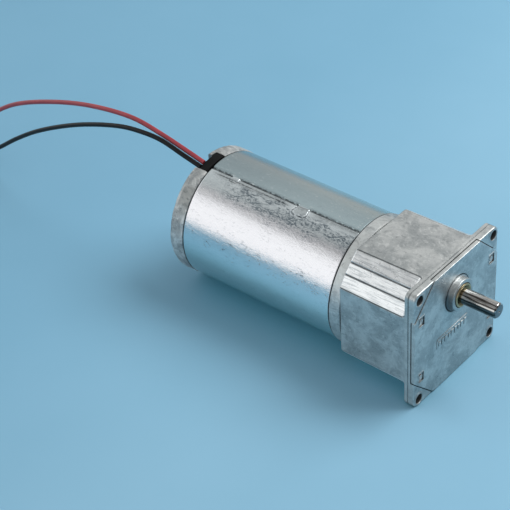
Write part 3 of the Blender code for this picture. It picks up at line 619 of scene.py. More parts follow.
def round_poly(pts, radii, k=5):
    """A closed 2-D polygon with its corners rounded by the given radii."""
    out = []
    n = len(pts)
    for i in range(n):
        r = radii[i] if isinstance(radii, (list, tuple)) else radii
        p = Vector(pts[i])
        if r <= 0:
            out.append((p.x, p.y))
            continue
        a = (Vector(pts[i - 1]) - p)
        b = (Vector(pts[(i + 1) % n]) - p)
        la, lb = a.length, b.length
        a.normalize()
        b.normalize()
        half = math.acos(max(-1.0, min(1.0, a.dot(b)))) / 2
        t = min(r / math.tan(half), la * 0.49, lb * 0.49)
        rr = t * math.tan(half)
        c = p + (a + b).normalized() * (rr / math.sin(half))
        s, e = p + a * t - c, p + b * t - c
        a0 = math.atan2(s.y, s.x)
        da = math.atan2(s.x * e.y - s.y * e.x, s.dot(e))
        for j in range(k + 1):
            w = a0 + da * j / k
            out.append((c.x + rr * math.cos(w), c.y + rr * math.sin(w)))
    return out


def revolve(name, profile, mat, segs=128, centre=(0.0, 0.0), sharp=30):
    """Turn a closed (x, r) profile about the X axis through `centre`."""
    verts, rows = [], []
    cy, cz = centre
    for x, r in profile:
        if r < 1e-5:
            rows.append([len(verts)])
            verts.append((x, cy, cz))
        else:
            start = len(verts)
            for k in range(segs):
                a = 2 * math.pi * k / segs
                verts.append((x, cy + r * math.cos(a), cz + r * math.sin(a)))
            rows.append(list(range(start, start + segs)))
    faces = []
    for i, row in enumerate(rows):
        nxt = rows[(i + 1) % len(rows)]
        if len(row) == 1 and len(nxt) == 1:
            continue
        for k in range(segs):
            j = (k + 1) % segs
            if len(row) == 1:
                faces.append((row[0], nxt[j], nxt[k]))
            elif len(nxt) == 1:
                faces.append((row[k], row[j], nxt[0]))
            else:
                faces.append((row[k], row[j], nxt[j], nxt[k]))
    return make(name, verts, faces, mat, sharp)


def loft(name, rings, mat, sharp=30):
    """Skin equal-length rings of (x, y, z) points and close both ends."""
    n = len(rings[0])
    verts = [p for ring in rings for p in ring]
    faces = [tuple(range(n)), tuple(range(len(verts) - n, len(verts)))]
    for i in range(len(rings) - 1):
        for k in range(n):
            j = (k + 1) % n
            faces.append(
                (i * n + k, i * n + j, (i + 1) * n + j, (i + 1) * n + k)
            )
    return make(name, verts, faces, mat, sharp)


def inset_outline(outline, d):
    """Move a closed outline inwards by d along its vertex normals."""
    if abs(d) < 1e-9:
        return list(outline)
    n = len(outline)
    area2 = sum(
        outline[i][0] * outline[(i + 1) % n][1]
        - outline[(i + 1) % n][0] * outline[i][1]
        for i in range(n)
    )
    s = 1 if area2 > 0 else -1
    out = []
    for i in range(n):
        a, p, b = (Vector(outline[i - 1]), Vector(outline[i]), Vector(outline[(i + 1) % n]))
        d1, d2 = (p - a), (b - p)
        if d1.length < 1e-9:
            d1 = d2
        if d2.length < 1e-9:
            d2 = d1
        n1 = Vector((-d1.y, d1.x)).normalized() * s
        n2 = Vector((-d2.y, d2.x)).normalized() * s
        m = n1 + n2
        m = m / max(0.35, m.dot(n1)) if m.length > 1e-6 else n1
        out.append((p.x + m.x * d, p.y + m.y * d))
    return out


def slab(name, outline, x0, x1, mat, edge=0.4, k=4, extra=(), sharp=30):
    """Extrude an outline along X with rounded rims; `extra` adds (x, inset)."""
    steps = []
    for j in range(k + 1):
        w = math.pi / 2 * j / k
        steps.append((x0 + edge * (1 - math.cos(w)) * 1.0, edge * (1 - math.sin(w))))
    # the first steps run from the end face outwards
    stations = [(x, i) for x, i in steps]
    stations += list(extra)
    for j in range(k + 1):
        w = math.pi / 2 * (1 - j / k)
        stations.append((x1 - edge * (1 - math.cos(w)), edge * (1 - math.sin(w))))
    rings = []
    for x, i in stations:
        rings.append([(x, y, z) for y, z in inset_outline(outline, i)])
    return loft(name, rings, mat, sharp)


def apply_mods(obj):
    graph = bpy.context.evaluated_depsgraph_get()
    mesh = bpy.data.meshes.new_from_object(obj.evaluated_get(graph))
    obj.modifiers.clear()
    old = obj.data
    obj.data = mesh
    mesh.name = obj.name
    bpy.data.meshes.remove(old)
    return obj


def combine(obj, others, operation, sharp=30):
    """Boolean each of the others into obj for good and remove them."""
    for other in others:
        mod = obj.modifiers.new("b", "BOOLEAN")
        mod.operation = operation
        mod.solver = "EXACT"
        mod.object = other
        apply_mods(obj)
        data = other.data
        bpy.data.objects.remove(other, do_unlink=True)
        bpy.data.meshes.remove(data)
    obj.data.shade_smooth()
    obj.data.set_sharp_from_angle(angle=math.radians(sharp))
    return obj


def rod(name, r, x0, x1, centre, segs=48, chamfer=0.0):
    """A plain round cutter or plug along X."""
    prof = [(x0, 0.0), (x1, 0.0), (x1, r), (x0, r)]
    return revolve(name, prof, None, segs, centre)


def finish_piece(obj, body, nodes, weigh=True):
    if weigh and obj.type == "MESH":
        # flat faces keep their own direction right up to a rounded edge
        mod = obj.modifiers.new("w", "WEIGHTED_NORMAL")
        mod.mode = "FACE_AREA"
        mod.weight = 50
        mod.keep_sharp = True
        apply_mods(obj)
    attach(obj, body)
    if nodes:
        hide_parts(*nodes)
    return obj


# =============================================================================
# gearbox housing
# =============================================================================
def body_outline(half, flare=0.0):
    """Outline of the gearbox body, anticlockwise from the +Y side.

    Each corner is cut by three facets with a fine groove where they meet.
    """
    k = half - 33.6
    p0 = Vector((19.3 + 0.9 * flare, 33.6 + k))
    p1 = Vector((24.9 + 0.72 * flare + k, 29.3 + 0.66 * flare + k))
    p2 = Vector((29.3 + 0.66 * flare + k, 24.9 + 0.72 * flare + k))
    p3 = Vector((33.6 + k, 19.3 + 0.9 * flare))
    quarter = []

    def groove(a, p, b, w=0.62, d=0.55):
        u = (a - p).normalized()
        v = (b - p).normalized()
        inward = -Vector((p.x, p.y)).normalized()
        return [
            p + u * w,
            p + u * w * 0.45 + inward * d * 0.75,
            p + inward * d,
            p + v * w * 0.45 + inward * d * 0.75,
            p + v * w,
        ]

    side = Vector((33.6 + k, 0.0))
    top = Vector((0.0, 33.6 + k))
    quarter += groove(side, p3, p2, 0.42, 0.34)
    quarter += groove(p3, p2, p1)
    quarter += groove(p2, p1, p0)
    quarter += groove(p1, p0, top, 0.50, 0.42)
    out = []
    for sy, sz, rev in ((1, 1, False), (-1, 1, True), (-1, -1, False), (1, -1, True)):
        pts = [(sy * q.x, sz * q.y) for q in quarter]
        out += pts[::-1] if rev else pts
    return out


def build_housing():
    rings = []
    # rounded rear rim of the body
    for j in range(5):
        w = math.pi / 2 * j / 4
        e = 0.9
        rings.append((-43.9 + e * (1 - math.cos(w)), 33.3 - e * (1 - math.sin(w)), 0))
    for x in (-38.0, -31.0, -24.0, -17.0, -13.0):
        rings.append((x, 33.3 + 0.4 * (x + 43.9) / 38.0, 0))
    for j in range(1, 8):  # the cut corners flare out into the ears
        w = math.pi / 2 * j / 7
        x = -8.3 + 2.2 * math.sin(w)
        rings.append((x, 33.3 + 0.4 * (x + 43.9) / 38.0, 2.2 * (1 - math.cos(w))))
    rings.append((-5.0, 33.7, 2.2))
    skins = []
    for x, half, flare in rings:
        skins.append([(x, y, z) for y, z in body_outline(half, flare)])
    housing = loft("gearbox_housing_casting", skins, "cast", 28)
    # mask for the groove bottoms and their sides, which are painted dark as shade
    attr = housing.data.attributes.new("groove", "FLOAT", "POINT")
    per = len(skins[0])
    for i, slot in enumerate(attr.data):
        slot.value = 1.0 if i % per % 5 == 2 else (0.45 if i % per % 5 in (1, 3) else 0.0)

    square = []
    for sy, sz in ((1, 1), (-1, 1), (-1, -1), (1, -1)):
        square.append((sy * 34.0, sz * 34.0))
    outline = round_poly(square, 3.4, 10)
    flange = slab(
        "t_flange",
        outline,
        -6.1,
        -0.4,
        "cast",
        edge=0.55,
        k=4,
        extra=[
            (-4.35, 0.0),
            (-4.10, 0.42),
            (-3.80, 0.42),
            (-3.55, 0.0),
        ],
    )
    ring = revolve(
        "t_ring",
        [(-41.5, 0.0), (-41.5, 32.9), (-43.75, 32.9), (-44.0, 33.55), (-44.2, 33.78)]
        + [(-44.6, 33.9), (-49.7, 33.9)]
        + [
            (-49.95 - 0.35 * math.sin(w), 33.55 + 0.35 * math.cos(w))
            for w in (math.pi / 2 * j / 5 for j in range(0, 6))
        ]
        + [(-50.3, 31.1), (-53.3, 31.1), (-53.3, 0.0)],
        "cast",
        segs=160,
    )
    pads = []
    for sy in (1, -1):
        for sz in (1, -1):
            c = (sy * 30.0, sz * 30.0)
            pads.append(
                revolve(
                    "t_pad",
                    [(-2.0, 0.0), (-0.14, 0.0), (-0.14, 3.35), (-0.24, 3.6), (-0.5, 3.85), (-2.0, 3.9)],
                    "cast",
                    segs=48,
                    centre=c,
                )
            )
    combine(housing, [flange, ring] + pads, "UNION", 28)

    cutters = []
    c_half, c_sum, p_sum = 30.4, 50.0, 43.6

    def octo(half, total):
        c = total - half
        return [
            (half, c), (c, half), (-c, half), (-half, c),
            (-half, -c), (-c, -half), (c, -half), (half, -c),
        ]

    def box(name, outline, x0, x1):
        return loft(
            name,
            [[(x0, y, z) for y, z in outline], [(x1, y, z) for y, z in outline]],
            None,
        )

    cutters.append(box("t_chamber", octo(c_half, c_sum), -42.0, -11.5))
    cutters.append(box("t_mouth", octo(c_half - 0.1, p_sum), -12.3, 2.0))
    cutters.append(
        box("t_seat", round_poly(octo(40.0, 52.75), 0.0, 1), -2.5, 3.0)
    )
    bore = revolve(
        "t_bore",
        [(-57.3, 0.0), (-46.9, 0.0), (-46.9, 28.5), (-57.3, 28.5)],
        None,
        96,
    )
    for k in (0, 1):
        boss = rod("t_boss", 4.4, -60.0, -44.9, from_top(27.4, -52 + 180 * k), 40)
        combine(bore, [boss], "DIFFERENCE")
    cutters.append(bore)
    for k in (0, 1):
        cutters.append(rod("t_thread", 2.3, -59, -44.0, from_top(27.4, -52 + 180 * k), 32))
    cutters.append(rod("t_mb", 7.3, -50.0, -38.0, (0, 0), 64))
    cutters.append(rod("t_rb", 5.9, -45.7, -38.0, (0, 15.2), 48))
    cutters.append(rod("t_p1", 2.3, -45.4, -38.0, (7.52, -15.414), 32))
    cutters.append(rod("t_p2", 2.3, -45.4, -38.0, (14.20, 2.576), 32))
    for sy in (-1, 1):
        for sz in (1, -1):
            cutters.append(rod("t_st", 1.5, -9.3, 2.0, (sy * 28.8, sz * 17.0), 24))
            # screw hole with a small countersink at each face
            cutters.append(
                revolve(
                    "t_hole",
                    [
                        (-8.0, 0.0), (2.0, 0.0), (2.0, 3.2), (-0.05, 2.85),
                        (-0.5, 2.5), (-5.7, 2.5), (-6.15, 2.8), (-8.0, 3.0),
                    ],
                    None,
                    48,
                    (sy * 30.0, sz * 30.0),
                )
            )
    combine(housing, cutters, "DIFFERENCE", 28)
    attr = housing.data.attributes.new("hole", "FLOAT", "POINT")
    groove = housing.data.attributes["groove"]
    for v, slot in zip(housing.data.vertices, groove.data):
        if not -43.95 < v.co.x / MM < -6.3:
            slot.value = 0.0
    # mask for the insides of the flange screw holes, painted near black as shade
    for v, slot in zip(housing.data.vertices, attr.data):
        x, y, z = v.co / MM
        near = math.hypot(abs(y) - 30.0, abs(z) - 30.0)
        slot.value = 0.9 if near < 2.6 and -6.3 < x < -0.3 else 0.0
    return housing


housing = build_housing()
finish_piece(housing, "frame", ["gearbox_housing"])


# =============================================================================
# cover plate with its boss
# =============================================================================
STAKES = [(sy * 28.8, sz * 17.0) for sy in (-1, 1) for sz in (1, -1)]


def build_cover():
    half, total = 33.9, 52.2
    c = total - half
    octo = [
        (half, c), (c, half), (-c, half), (-half, c),
        (-half, -c), (-c, -half), (c, -half), (half, -c),
    ]
    outline = round_poly(octo, 0.9, 5)
    plate = slab("gearbox_cover_plate", outline, -2.2, 0.0, "cast", edge=0.35, k=3)
    # boss with a soft foot and a rolled front rim
    prof = [(-9.0, 0.0), (3.3, 0.0), (3.3, 7.35)]
    prof += [
        (2.75 + 0.55 * math.cos(w), 7.85 + 0.55 * math.sin(w))
        for w in (math.pi / 2 * j / 6 for j in range(7))
    ]
    prof += [(1.1, 8.42), (0.55, 8.5), (0.22, 8.75), (0.10, 9.1), (-0.25, 9.2)]
    prof += [(-1.0, 9.2), (-1.0, 8.4), (-9.0, 8.4)]
    boss = revolve("t_boss", prof, "cast", 128, (0.0, 15.2))
    # a plain raised bar with round ends below the boss
    bar = [(-16.4, -9.6), (9.8, -9.6), (9.8, -3.0), (-16.4, -3.0)]
    bar = round_poly(bar, 1.6, 6)
    pad = slab("t_bar", bar, -1.0, 0.26, "cast", edge=0.2, k=3)
    blocks = []
    for k in range(9):
        y = -14.3 + 2.65 * k
        w, h = (1.05, 1.75) if k % 3 else (0.75, 1.3)
        quad = [(y - w, -6.3 - h), (y + w, -6.3 - h), (y + w, -6.3 + h), (y - w, -6.3 + h)]
        blocks.append(slab("t_block", round_poly(quad, 0.3, 3), -0.5, 0.62, "cast", edge=0.15, k=2))
    lugs = []
    for at in ((7.52, -15.414), (14.20, 2.576)):
        lugs.append(rod("t_lug", 4.2, -6.0, -1.0, at, 40))
    frames = []
    for y, z in STAKES:
        quad = [(y - 2.6, z - 3.1), (y + 2.6, z - 3.1), (y + 2.6, z + 3.1), (y - 2.6, z + 3.1)]
        frames.append(slab("t_frame", round_poly(quad, 0.6, 4), -1.0, 0.17, "cast", edge=0.16, k=3))
    combine(plate, [boss, pad] + blocks + lugs + frames, "UNION", 28)
    cutters = [rod("t_seat", 6.5, -12.0, 6.3, (0.0, 15.2), 96)]
    for at in ((7.52, -15.414), (14.20, 2.576)):
        cutters.append(rod("t_pin", 2.3, -9.0, -1.6, at, 32))
    cutters.append(
        revolve(
            "t_foot",
            [(-0.55, 9.2), (2.0, 9.2), (2.0, 9.85), (-0.25, 9.75)],
            None,
            96,
            (0.0, 15.2),
        )
    )
    for y, z in STAKES:
        rect = round_poly(
            [(y - 2.1, z - 2.6), (y + 2.1, z - 2.6), (y + 2.1, z + 2.6), (y - 2.1, z + 2.6)],
            0.35,
            4,
        )
        cutters.append(
            loft(
                "t_pocket",
                [[(-0.5, a, b) for a, b in rect], [(2.0, a, b) for a, b in rect]],
                None,
            )
        )
        cutters.append(rod("t_sh", 1.5, -5.0, 2.0, (y, z), 24))
    combine(plate, cutters, "DIFFERENCE", 28)
    return plate


cover = build_cover()
finish_piece(cover, "frame", ["gearbox_cover"])

for i, (y, z) in enumerate(STAKES):
    # a pin whose head was struck flat into the pocket, with a dimple
    prof = [(-8.8, 0.0), (-0.45, 0.0), (-0.34, 0.5), (-0.16, 0.9)]
    prof += [(-0.12, 1.15), (-0.2, 1.3), (-0.42, 1.38), (-8.8, 1.2)]
    pin = revolve(f"cover_stake_{i + 1}_pin", prof, "cast_rough", 40, (y, z))
    finish_piece(pin, "frame", [f"cover_stake_{i + 1}"])


# =============================================================================
# bush and output shaft
# =============================================================================
bush = revolve(
    "output_bush",
    [
        (-8.8, 4.25),
        (2.7, 4.25),
        (3.45, 4.95),
        (3.86, 5.25),
        (3.9, 5.45),
        (3.88, 5.85),
        (3.72, 6.1),
        (3.4, 6.2),
        (-8.8, 6.2),
    ],
    "bronze",
    128,
    (0.0, 15.2),
)
finish_piece(bush, "frame", ["output_bush_front"])


def build_shaft():
    prof = [(-44.9, 0.0), (22.75, 0.0), (22.95, 0.5), (23.28, 0.75), (23.3, 0.95)]
    prof += [(23.3, 3.05), (23.22, 3.25), (22.68, 3.86), (22.45, 3.98), (22.2, 4.0)]
    prof += [(-22.2, 4.0), (-22.6, 3.7), (-22.6, 3.0), (-44.6, 3.0), (-44.9, 2.7)]
    return revolve("output_shaft_ground", prof, "shaft", 128, (0.0, 15.2), 25)


shaft = build_shaft()
finish_piece(shaft, "output", ["output_shaft"])


# =============================================================================
# rolled can with its seam
# =============================================================================
SEAM = 12.6


def interlock(xc, out, neck, lobe):
    """Dovetail key in the seam: points (x, s), s across the seam in mm."""
    pts = [(xc - 20.0, 0.0), (xc - neck, 0.0), (xc - lobe, out), (xc + lobe, out),
           (xc + neck, 0.0), (xc + 20.0, 0.0)]
    poly = round_poly(pts, [0, 0.5, 1.7, 1.7, 0.5, 0], 6)
    return poly[1:-1]


KEYS = ((-127.5, 3.4, 2.3, 3.1), (-84.5, 5.8, 3.4, 4.7))


def distance_to(path, px, ps):
    best = np.full(px.shape, 1e9)
    for (x0, s0), (x1, s1) in zip(path, path[1:]):
        dx, ds = x1 - x0, s1 - s0
        l2 = dx * dx + ds * ds
        if l2 < 1e-12:
            continue
        t = np.clip(((px - x0) * dx + (ps - s0) * ds) / l2, 0, 1)
        d = np.hypot(px - x0 - t * dx, ps - s0 - t * ds)
        best = np.minimum(best, d)
    return best


def seam_depth(gx, gs):
    """How far the skin sinks at the seam, how dark it is painted there with grime and painted shade, and where a
    painted highlight runs round the keys.

    The straight slit is wide and dark. Round the two keys the joint is tight,
    with a rolled edge. Left of the long key a second mark runs beside it.
    """
    sink = 0.22 * np.exp(-((gs / 2.4) ** 2))
    slit = np.abs(gs)
    free = np.ones(gx.shape)
    key_d = np.full(gx.shape, 1e9)
    for xc, out, neck, lobe in KEYS:
        between = np.clip((neck + 0.9 - np.abs(gx - xc)) / 1.6, 0, 1)
        free *= 1 - between * between * (3 - 2 * between)
        key_d = np.minimum(key_d, distance_to(interlock(xc, out, neck, lobe), gx, gs))
    sink += 0.60 * free * np.clip(1 - (slit / 0.75) ** 2, 0, 1)
    sink += 0.05 * np.exp(-((slit / 0.9) ** 2))
    sink += 0.16 * np.clip(1 - (key_d / 0.32) ** 2, 0, 1)
    sink -= 0.02 * np.exp(-(((key_d - 0.62) / 0.28) ** 2))
    mark = np.abs(gs - 2.35)
    run = np.clip((-91.0 - gx) / 4, 0, 1) * np.clip((gx + 142.0) / 6, 0, 1)
    sink += run * 0.16 * np.exp(-((mark / 0.45) ** 2))
    dirt_and_shade = free * np.clip(1.35 - slit / 0.92, 0, 1)
    dirt_and_shade = np.maximum(dirt_and_shade, 0.95 * np.clip(1.35 - key_d / 0.32, 0, 1))
    dirt_and_shade = np.maximum(dirt_and_shade, run * 0.82 * np.exp(-((mark / 0.55) ** 2)))
    dirt_and_shade = np.maximum(dirt_and_shade, run * 0.42 * np.exp(-((mark / 1.5) ** 2)))
    band = np.clip((gx + 80.0) / 6, 0, 1) * np.exp(-(((gs - 1.5) / 1.5) ** 2))
    dirt_and_shade = np.maximum(dirt_and_shade, 0.52 * band)
    inside = np.zeros(gx.shape)
    for xc, out, neck, lobe in KEYS[1:]:
        inside = np.maximum(
            inside,
            np.clip((lobe - 0.4 - np.abs(gx - xc)) / 1.2, 0, 1)
            * np.clip(1 - gs / out, 0, 1)
            * (gs > 0),
        )
    dirt_and_shade = np.maximum(dirt_and_shade, 0.62 * inside)
    # painted highlight mask along the rolled edge round the keys, weaker on the rear key
    lip_highlight = np.clip(1.15 - np.abs(key_d - 0.70) / 0.28, 0, 1) * (gs > 0.6)
    lip_highlight *= np.where(gx < -110.0, 0.25, 1.0)
    return sink, dirt_and_shade, lip_highlight


def build_can():
    r_out, r_in = 33.5, 31.5
    x0, x1 = -143.1, -50.6
    # columns: fine near the seam, coarser round the rest
    fine = [i * 0.16 for i in range(-25, 50)]
    rest = 2 * math.pi * r_out - (fine[-1] - fine[0])
    coarse_n = 120
    coarse = [fine[-1] + rest * i / coarse_n for i in range(1, coarse_n)]
    cols = np.array(fine + coarse)
    rows = [x0, x0 + 0.12, x0 + 0.35, x0 + 0.7]
    x = x0 + 1.4
    while x < x1 - 0.8:
        rows.append(x)
        near = any(abs(x - xc) < lobe + 1.2 for xc, _, _, lobe in KEYS)
        x += 0.16 if near else 0.9
    rows += [x1 - 0.7, x1 - 0.35, x1 - 0.12, x1]
    rows = np.array(rows)
    n, m = len(cols), len(rows)
    gx, gs = np.meshgrid(rows, cols, indexing="ij")
    wrapped = np.where(gs > math.pi * r_out, gs - 2 * math.pi * r_out, gs)
    sink, dirt_and_shade, lip_highlight = seam_depth(gx, wrapped)
    radius = r_out - sink
    end = np.minimum(gx - x0, x1 - gx)
    radius -= 0.3 * np.clip(1 - end / 0.5, 0, 1) ** 2
    # painted shade: the rounded ends of the can are darkened
    dirt_and_shade = np.maximum(dirt_and_shade, np.clip(1.3 - end / 0.5, 0, 1))
    theta = np.radians(SEAM) + gs / r_out
    verts = np.stack(
        [gx, -radius * np.sin(theta), radius * np.cos(theta)], -1
    ).reshape(-1, 3)
    faces = []
    for i in range(m - 1):
        a, b = i * n, (i + 1) * n
        for k in range(n):
            j = (k + 1) % n
            faces.append((a + k, a + j, b + j, b + k))
    inner0 = len(verts)
    inner = []
    for xx in (x0, x1):
        for k in range(n):
            th = math.radians(SEAM) + cols[k] / r_out
            inner.append((xx, -r_in * math.sin(th), r_in * math.cos(th)))
    verts = [tuple(v) for v in verts] + inner
    last = (m - 1) * n
    for k in range(n):
        j = (k + 1) % n
        faces.append((k, j, inner0 + j, inner0 + k))
        faces.append((last + k, last + j, inner0 + n + j, inner0 + n + k))
        faces.append((inner0 + k, inner0 + j, inner0 + n + j, inner0 + n + k))
    obj = make("motor_can_rolled", verts, faces, "can", 50)
    # the seam mask carries grime and painted shade, the lip mask a painted highlight
    attr = obj.data.attributes.new("seam", "FLOAT", "POINT")
    values = np.zeros(len(verts), dtype=np.float32)
    values[:inner0] = dirt_and_shade.reshape(-1)
    attr.data.foreach_set("value", values)
    attr = obj.data.attributes.new("lip_highlight", "FLOAT", "POINT")
    values[:inner0] = lip_highlight.reshape(-1)
    attr.data.foreach_set("value", values)
    return obj


can = build_can()
finish_piece(can, "frame", ["motor_can"], weigh=False)


# =============================================================================
# brush springs: a plain coil for each, in place of the imported spring
# =============================================================================
def build_coil(name, s):
    turns, steps, wire, radius, sides = 4, 24, 0.32, 2.1, 10
    z0, z1, mid_x = s * 19.22, s * 26.18, -135.1
    total = turns * steps
    verts, faces = [], []
    for i in range(total + 1):
        a = 2 * math.pi * i / steps
        z = z0 + (z1 - z0) * i / total
        for k in range(sides):
            b = 2 * math.pi * k / sides
            r = radius + wire * math.cos(b)
            verts.append((mid_x + r * math.cos(a), r * math.sin(a), z + wire * math.sin(b)))
    for i in range(total):
        for k in range(sides):
            j = (k + 1) % sides
            a = i * sides
            faces.append((a + k, a + j, a + sides + j, a + sides + k))
    faces.append(tuple(range(sides)))
    faces.append(tuple(range(total * sides, (total + 1) * sides)))
    coil = make(name, verts, faces, "steel", 50)
    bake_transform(coil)
    return coil


for tag, s in (("a", 1), ("b", -1)):
    coil = build_coil(f"brush_spring_{tag}_coil", s)
    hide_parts(f"brush_spring_{tag}")


# =============================================================================
# end cap with its notch and grommet
# =============================================================================
def sector_outline(r0, r1, d0, d1, steps=24):
    out = [from_top(r1, d0 + (d1 - d0) * i / steps) for i in range(steps + 1)]
    out += [from_top(r0, d1 + (d0 - d1) * i / steps) for i in range(steps + 1)]
    return out


def sector_block(name, r0, r1, d0, d1, x0, x1, mat=None, edge=0.0):
    outline = sector_outline(r0, r1, d0, d1)
    if edge > 0:
        return slab(name, outline, x0, x1, mat, edge=edge, k=3)
    return loft(
        name,
        [[(x0, y, z) for y, z in outline], [(x1, y, z) for y, z in outline]],
        mat,
    )


def build_cap():
    prof = [(-155.0, 0.0), (-155.0, 9.6)]
    prof += [
        (-154.2 - 0.8 * math.cos(w), 9.8 + 0.8 * math.sin(w))
        for w in (math.pi / 2 * j / 5 for j in range(6))
    ]
    prof += [(-152.6, 11.2)]
    prof += [
        (-152.6 + 0.8 * math.sin(w), 12.0 - 0.8 * math.cos(w))
        for w in (math.pi / 2 * j / 5 for j in range(6))
    ]
    # a shallow ring groove in the rear face, then the rim
    prof += [(-151.8, 20.4), (-151.5, 20.8), (-151.5, 22.0), (-151.8, 22.4)]
    prof += [(-151.8, 32.4)]
    prof += [
        (-150.5 - 1.3 * math.cos(w), 32.6 + 1.3 * math.sin(w))
        for w in (math.pi / 2 * j / 7 for j in range(8))
    ]
    prof += [(-150.5 + 0.55 * j, 33.9) for j in range(1, 12)]
    prof += [(-144.1, 33.85), (-143.6, 33.7), (-143.4, 33.4)]
    prof += [(-143.4, 31.1), (-145.0, 31.1), (-145.0, 29.6), (-148.8, 29.6)]
    prof += [(-148.8, 9.5), (-147.6, 9.5), (-147.6, 0.0)]
    cap = revolve("end_cap_casting", prof, "cast_rough", 192)
    cutters = [
        rod("t_rb", 7.3, -154.3, -140.0, (0, 0), 64),
        sector_block("t_wide", 26.3, 40.0, -5.0, 19.4, -149.2, -140.0),
        sector_block("t_narrow", 29.3, 40.0, 1.0, 19.4, -158.0, -147.0),
    ]
    for k in (0, 1):
        at = from_top(27.4, -52 + 180 * k)
        cutters.append(rod("t_cb", 2.3, -160.0, -140.0, at, 32))
    combine(cap, cutters, "DIFFERENCE", 30)
    # the rim is rough as cast: it wanders in and out by a tenth or two
    for v in cap.data.vertices:
        p = v.co / MM
        r = math.hypot(p.y, p.z)
        if r > 32.2:
            n = noise.noise(p * 0.42) + 0.6 * noise.noise(p * 1.3 + Vector((7, 3, 1)))
            k = 1 - max(0.0, 0.10 + 0.26 * n) / r
            v.co = Vector((v.co.x, v.co.y * k, v.co.z * k))
    return cap


cap = build_cap()
finish_piece(cap, "frame", ["end_cap"])

grommet = sector_block(
    "lead_grommet_moulding", 29.0, 33.5, -4.4, 18.8, -148.9, -144.0, "black_plastic", 0.3
)
tongue = sector_block(
    "t_tongue", 29.6, 30.3, 1.8, 18.6, -151.6, -146.0, "black_plastic", 0.2
)
combine(grommet, [tongue], "UNION")
finish_piece(grommet, "frame", ["lead_grommet"])


# =============================================================================
# tie bolts
# =============================================================================
def build_bolt(name, centre):
    prof = [(-154.6, 0.0), (-154.6, 1.7)]
    prof += [
        (-153.3 - 1.3 * math.cos(w), 2.3 + 1.2 * math.sin(w))
        for w in (math.pi / 2 * j / 7 for j in range(1, 8))
    ]
    prof += [(-152.1, 3.5), (-152.1, 2.0), (-44.8, 2.0), (-44.4, 1.7), (-44.4, 0.0)]
    bolt = revolve(name, prof, "steel", 64, centre)
    slots = []
    for turn in (20, 110):
        a = math.radians(turn)
        c, s = math.cos(a), math.sin(a)
        quad = [(-2.0, -0.32), (2.0, -0.32), (2.0, 0.32), (-2.0, 0.32)]
        quad = [(centre[0] + u * c - v * s, centre[1] + u * s + v * c) for u, v in quad]
        slots.append(
            loft(
                "t_slot",
                [[(-156.0, y, z) for y, z in quad], [(-153.6, y, z) for y, z in quad]],
                None,
            )
        )
    return combine(bolt, slots, "DIFFERENCE")


for k, name in enumerate(("tie_bolt_a", "tie_bolt_b")):
    bolt = build_bolt(f"{name}_screw", from_top(27.4, -52 + 180 * k))
    finish_piece(bolt, "frame", [name])


# =============================================================================
# leads
# =============================================================================
RED_ROUTE = (
    (-149.3, -6.7, 32.5),
    (-160.3, -6.5, 34.9),
    (-179.0, -5.8, 38.1),
    (-198.3, -4.9, 39.6),
    (-228.7, -4.1, 35.2),
    (-261.1, -3.3, 25.5),
    (-296.5, -2.4, 10.0),
    (-322.0, -1.6, -8.0),
    (-341.0, -2.0, -24.5),
    (-353.0, -3.5, -31.2),
    (-364.0, -6.0, -32.65),
    (-378.0, -11.0, -32.75),
)
BLACK_ROUTE = (
    (-149.3, -9.4, 31.55),
    (-160.0, -9.4, 33.9),
    (-176.4, -8.9, 37.0),
    (-190.6, -8.7, 36.5),
    (-205.2, -8.5, 33.9),
    (-236.3, -8.4, 23.0),
    (-270.0, -8.3, 6.2),
    (-290.8, -8.2, -7.3),
    (-307.7, -8.4, -20.0),
    (-320.0, -9.2, -28.6),
    (-332.0, -11.0, -32.3),
    (-345.0, -14.0, -32.75),
    (-377.0, -24.0, -32.75),
)
LEAD_R = 1.25


def smooth_points(route, spacing):
    """Even points on the centripetal Catmull-Rom curve through the route."""
    pts = [Vector(p) for p in route]
    pts = [pts[0] * 2 - pts[1]] + pts + [pts[-1] * 2 - pts[-2]]
    fine = []
    for i in range(1, len(pts) - 2):
        p0, p1, p2, p3 = pts[i - 1 : i + 3]
        t0 = 0.0
        t1 = t0 + (p1 - p0).length ** 0.5
        t2 = t1 + (p2 - p1).length ** 0.5
        t3 = t2 + (p3 - p2).length ** 0.5
        for k in range(24):
            t = t1 + (t2 - t1) * k / 24
            a1 = p0 * ((t1 - t) / (t1 - t0)) + p1 * ((t - t0) / (t1 - t0))
            a2 = p1 * ((t2 - t) / (t2 - t1)) + p2 * ((t - t1) / (t2 - t1))
            a3 = p2 * ((t3 - t) / (t3 - t2)) + p3 * ((t - t2) / (t3 - t2))
            b1 = a1 * ((t2 - t) / (t2 - t0)) + a2 * ((t - t0) / (t2 - t0))
            b2 = a2 * ((t3 - t) / (t3 - t1)) + a3 * ((t - t1) / (t3 - t1))
            fine.append(b1 * ((t2 - t) / (t2 - t1)) + b2 * ((t - t1) / (t2 - t1)))
    fine.append(pts[-2])
    length = [0.0]
    for a, b in zip(fine, fine[1:]):
        length.append(length[-1] + (b - a).length)
    count = max(2, round(length[-1] / spacing))
    out, j = [], 0
    for i in range(count + 1):
        want = length[-1] * i / count
        while j < len(fine) - 2 and length[j + 1] < want:
            j += 1
        share = (want - length[j]) / (length[j + 1] - length[j])
        out.append(fine[j].lerp(fine[j + 1], min(1.0, share)))
    return out


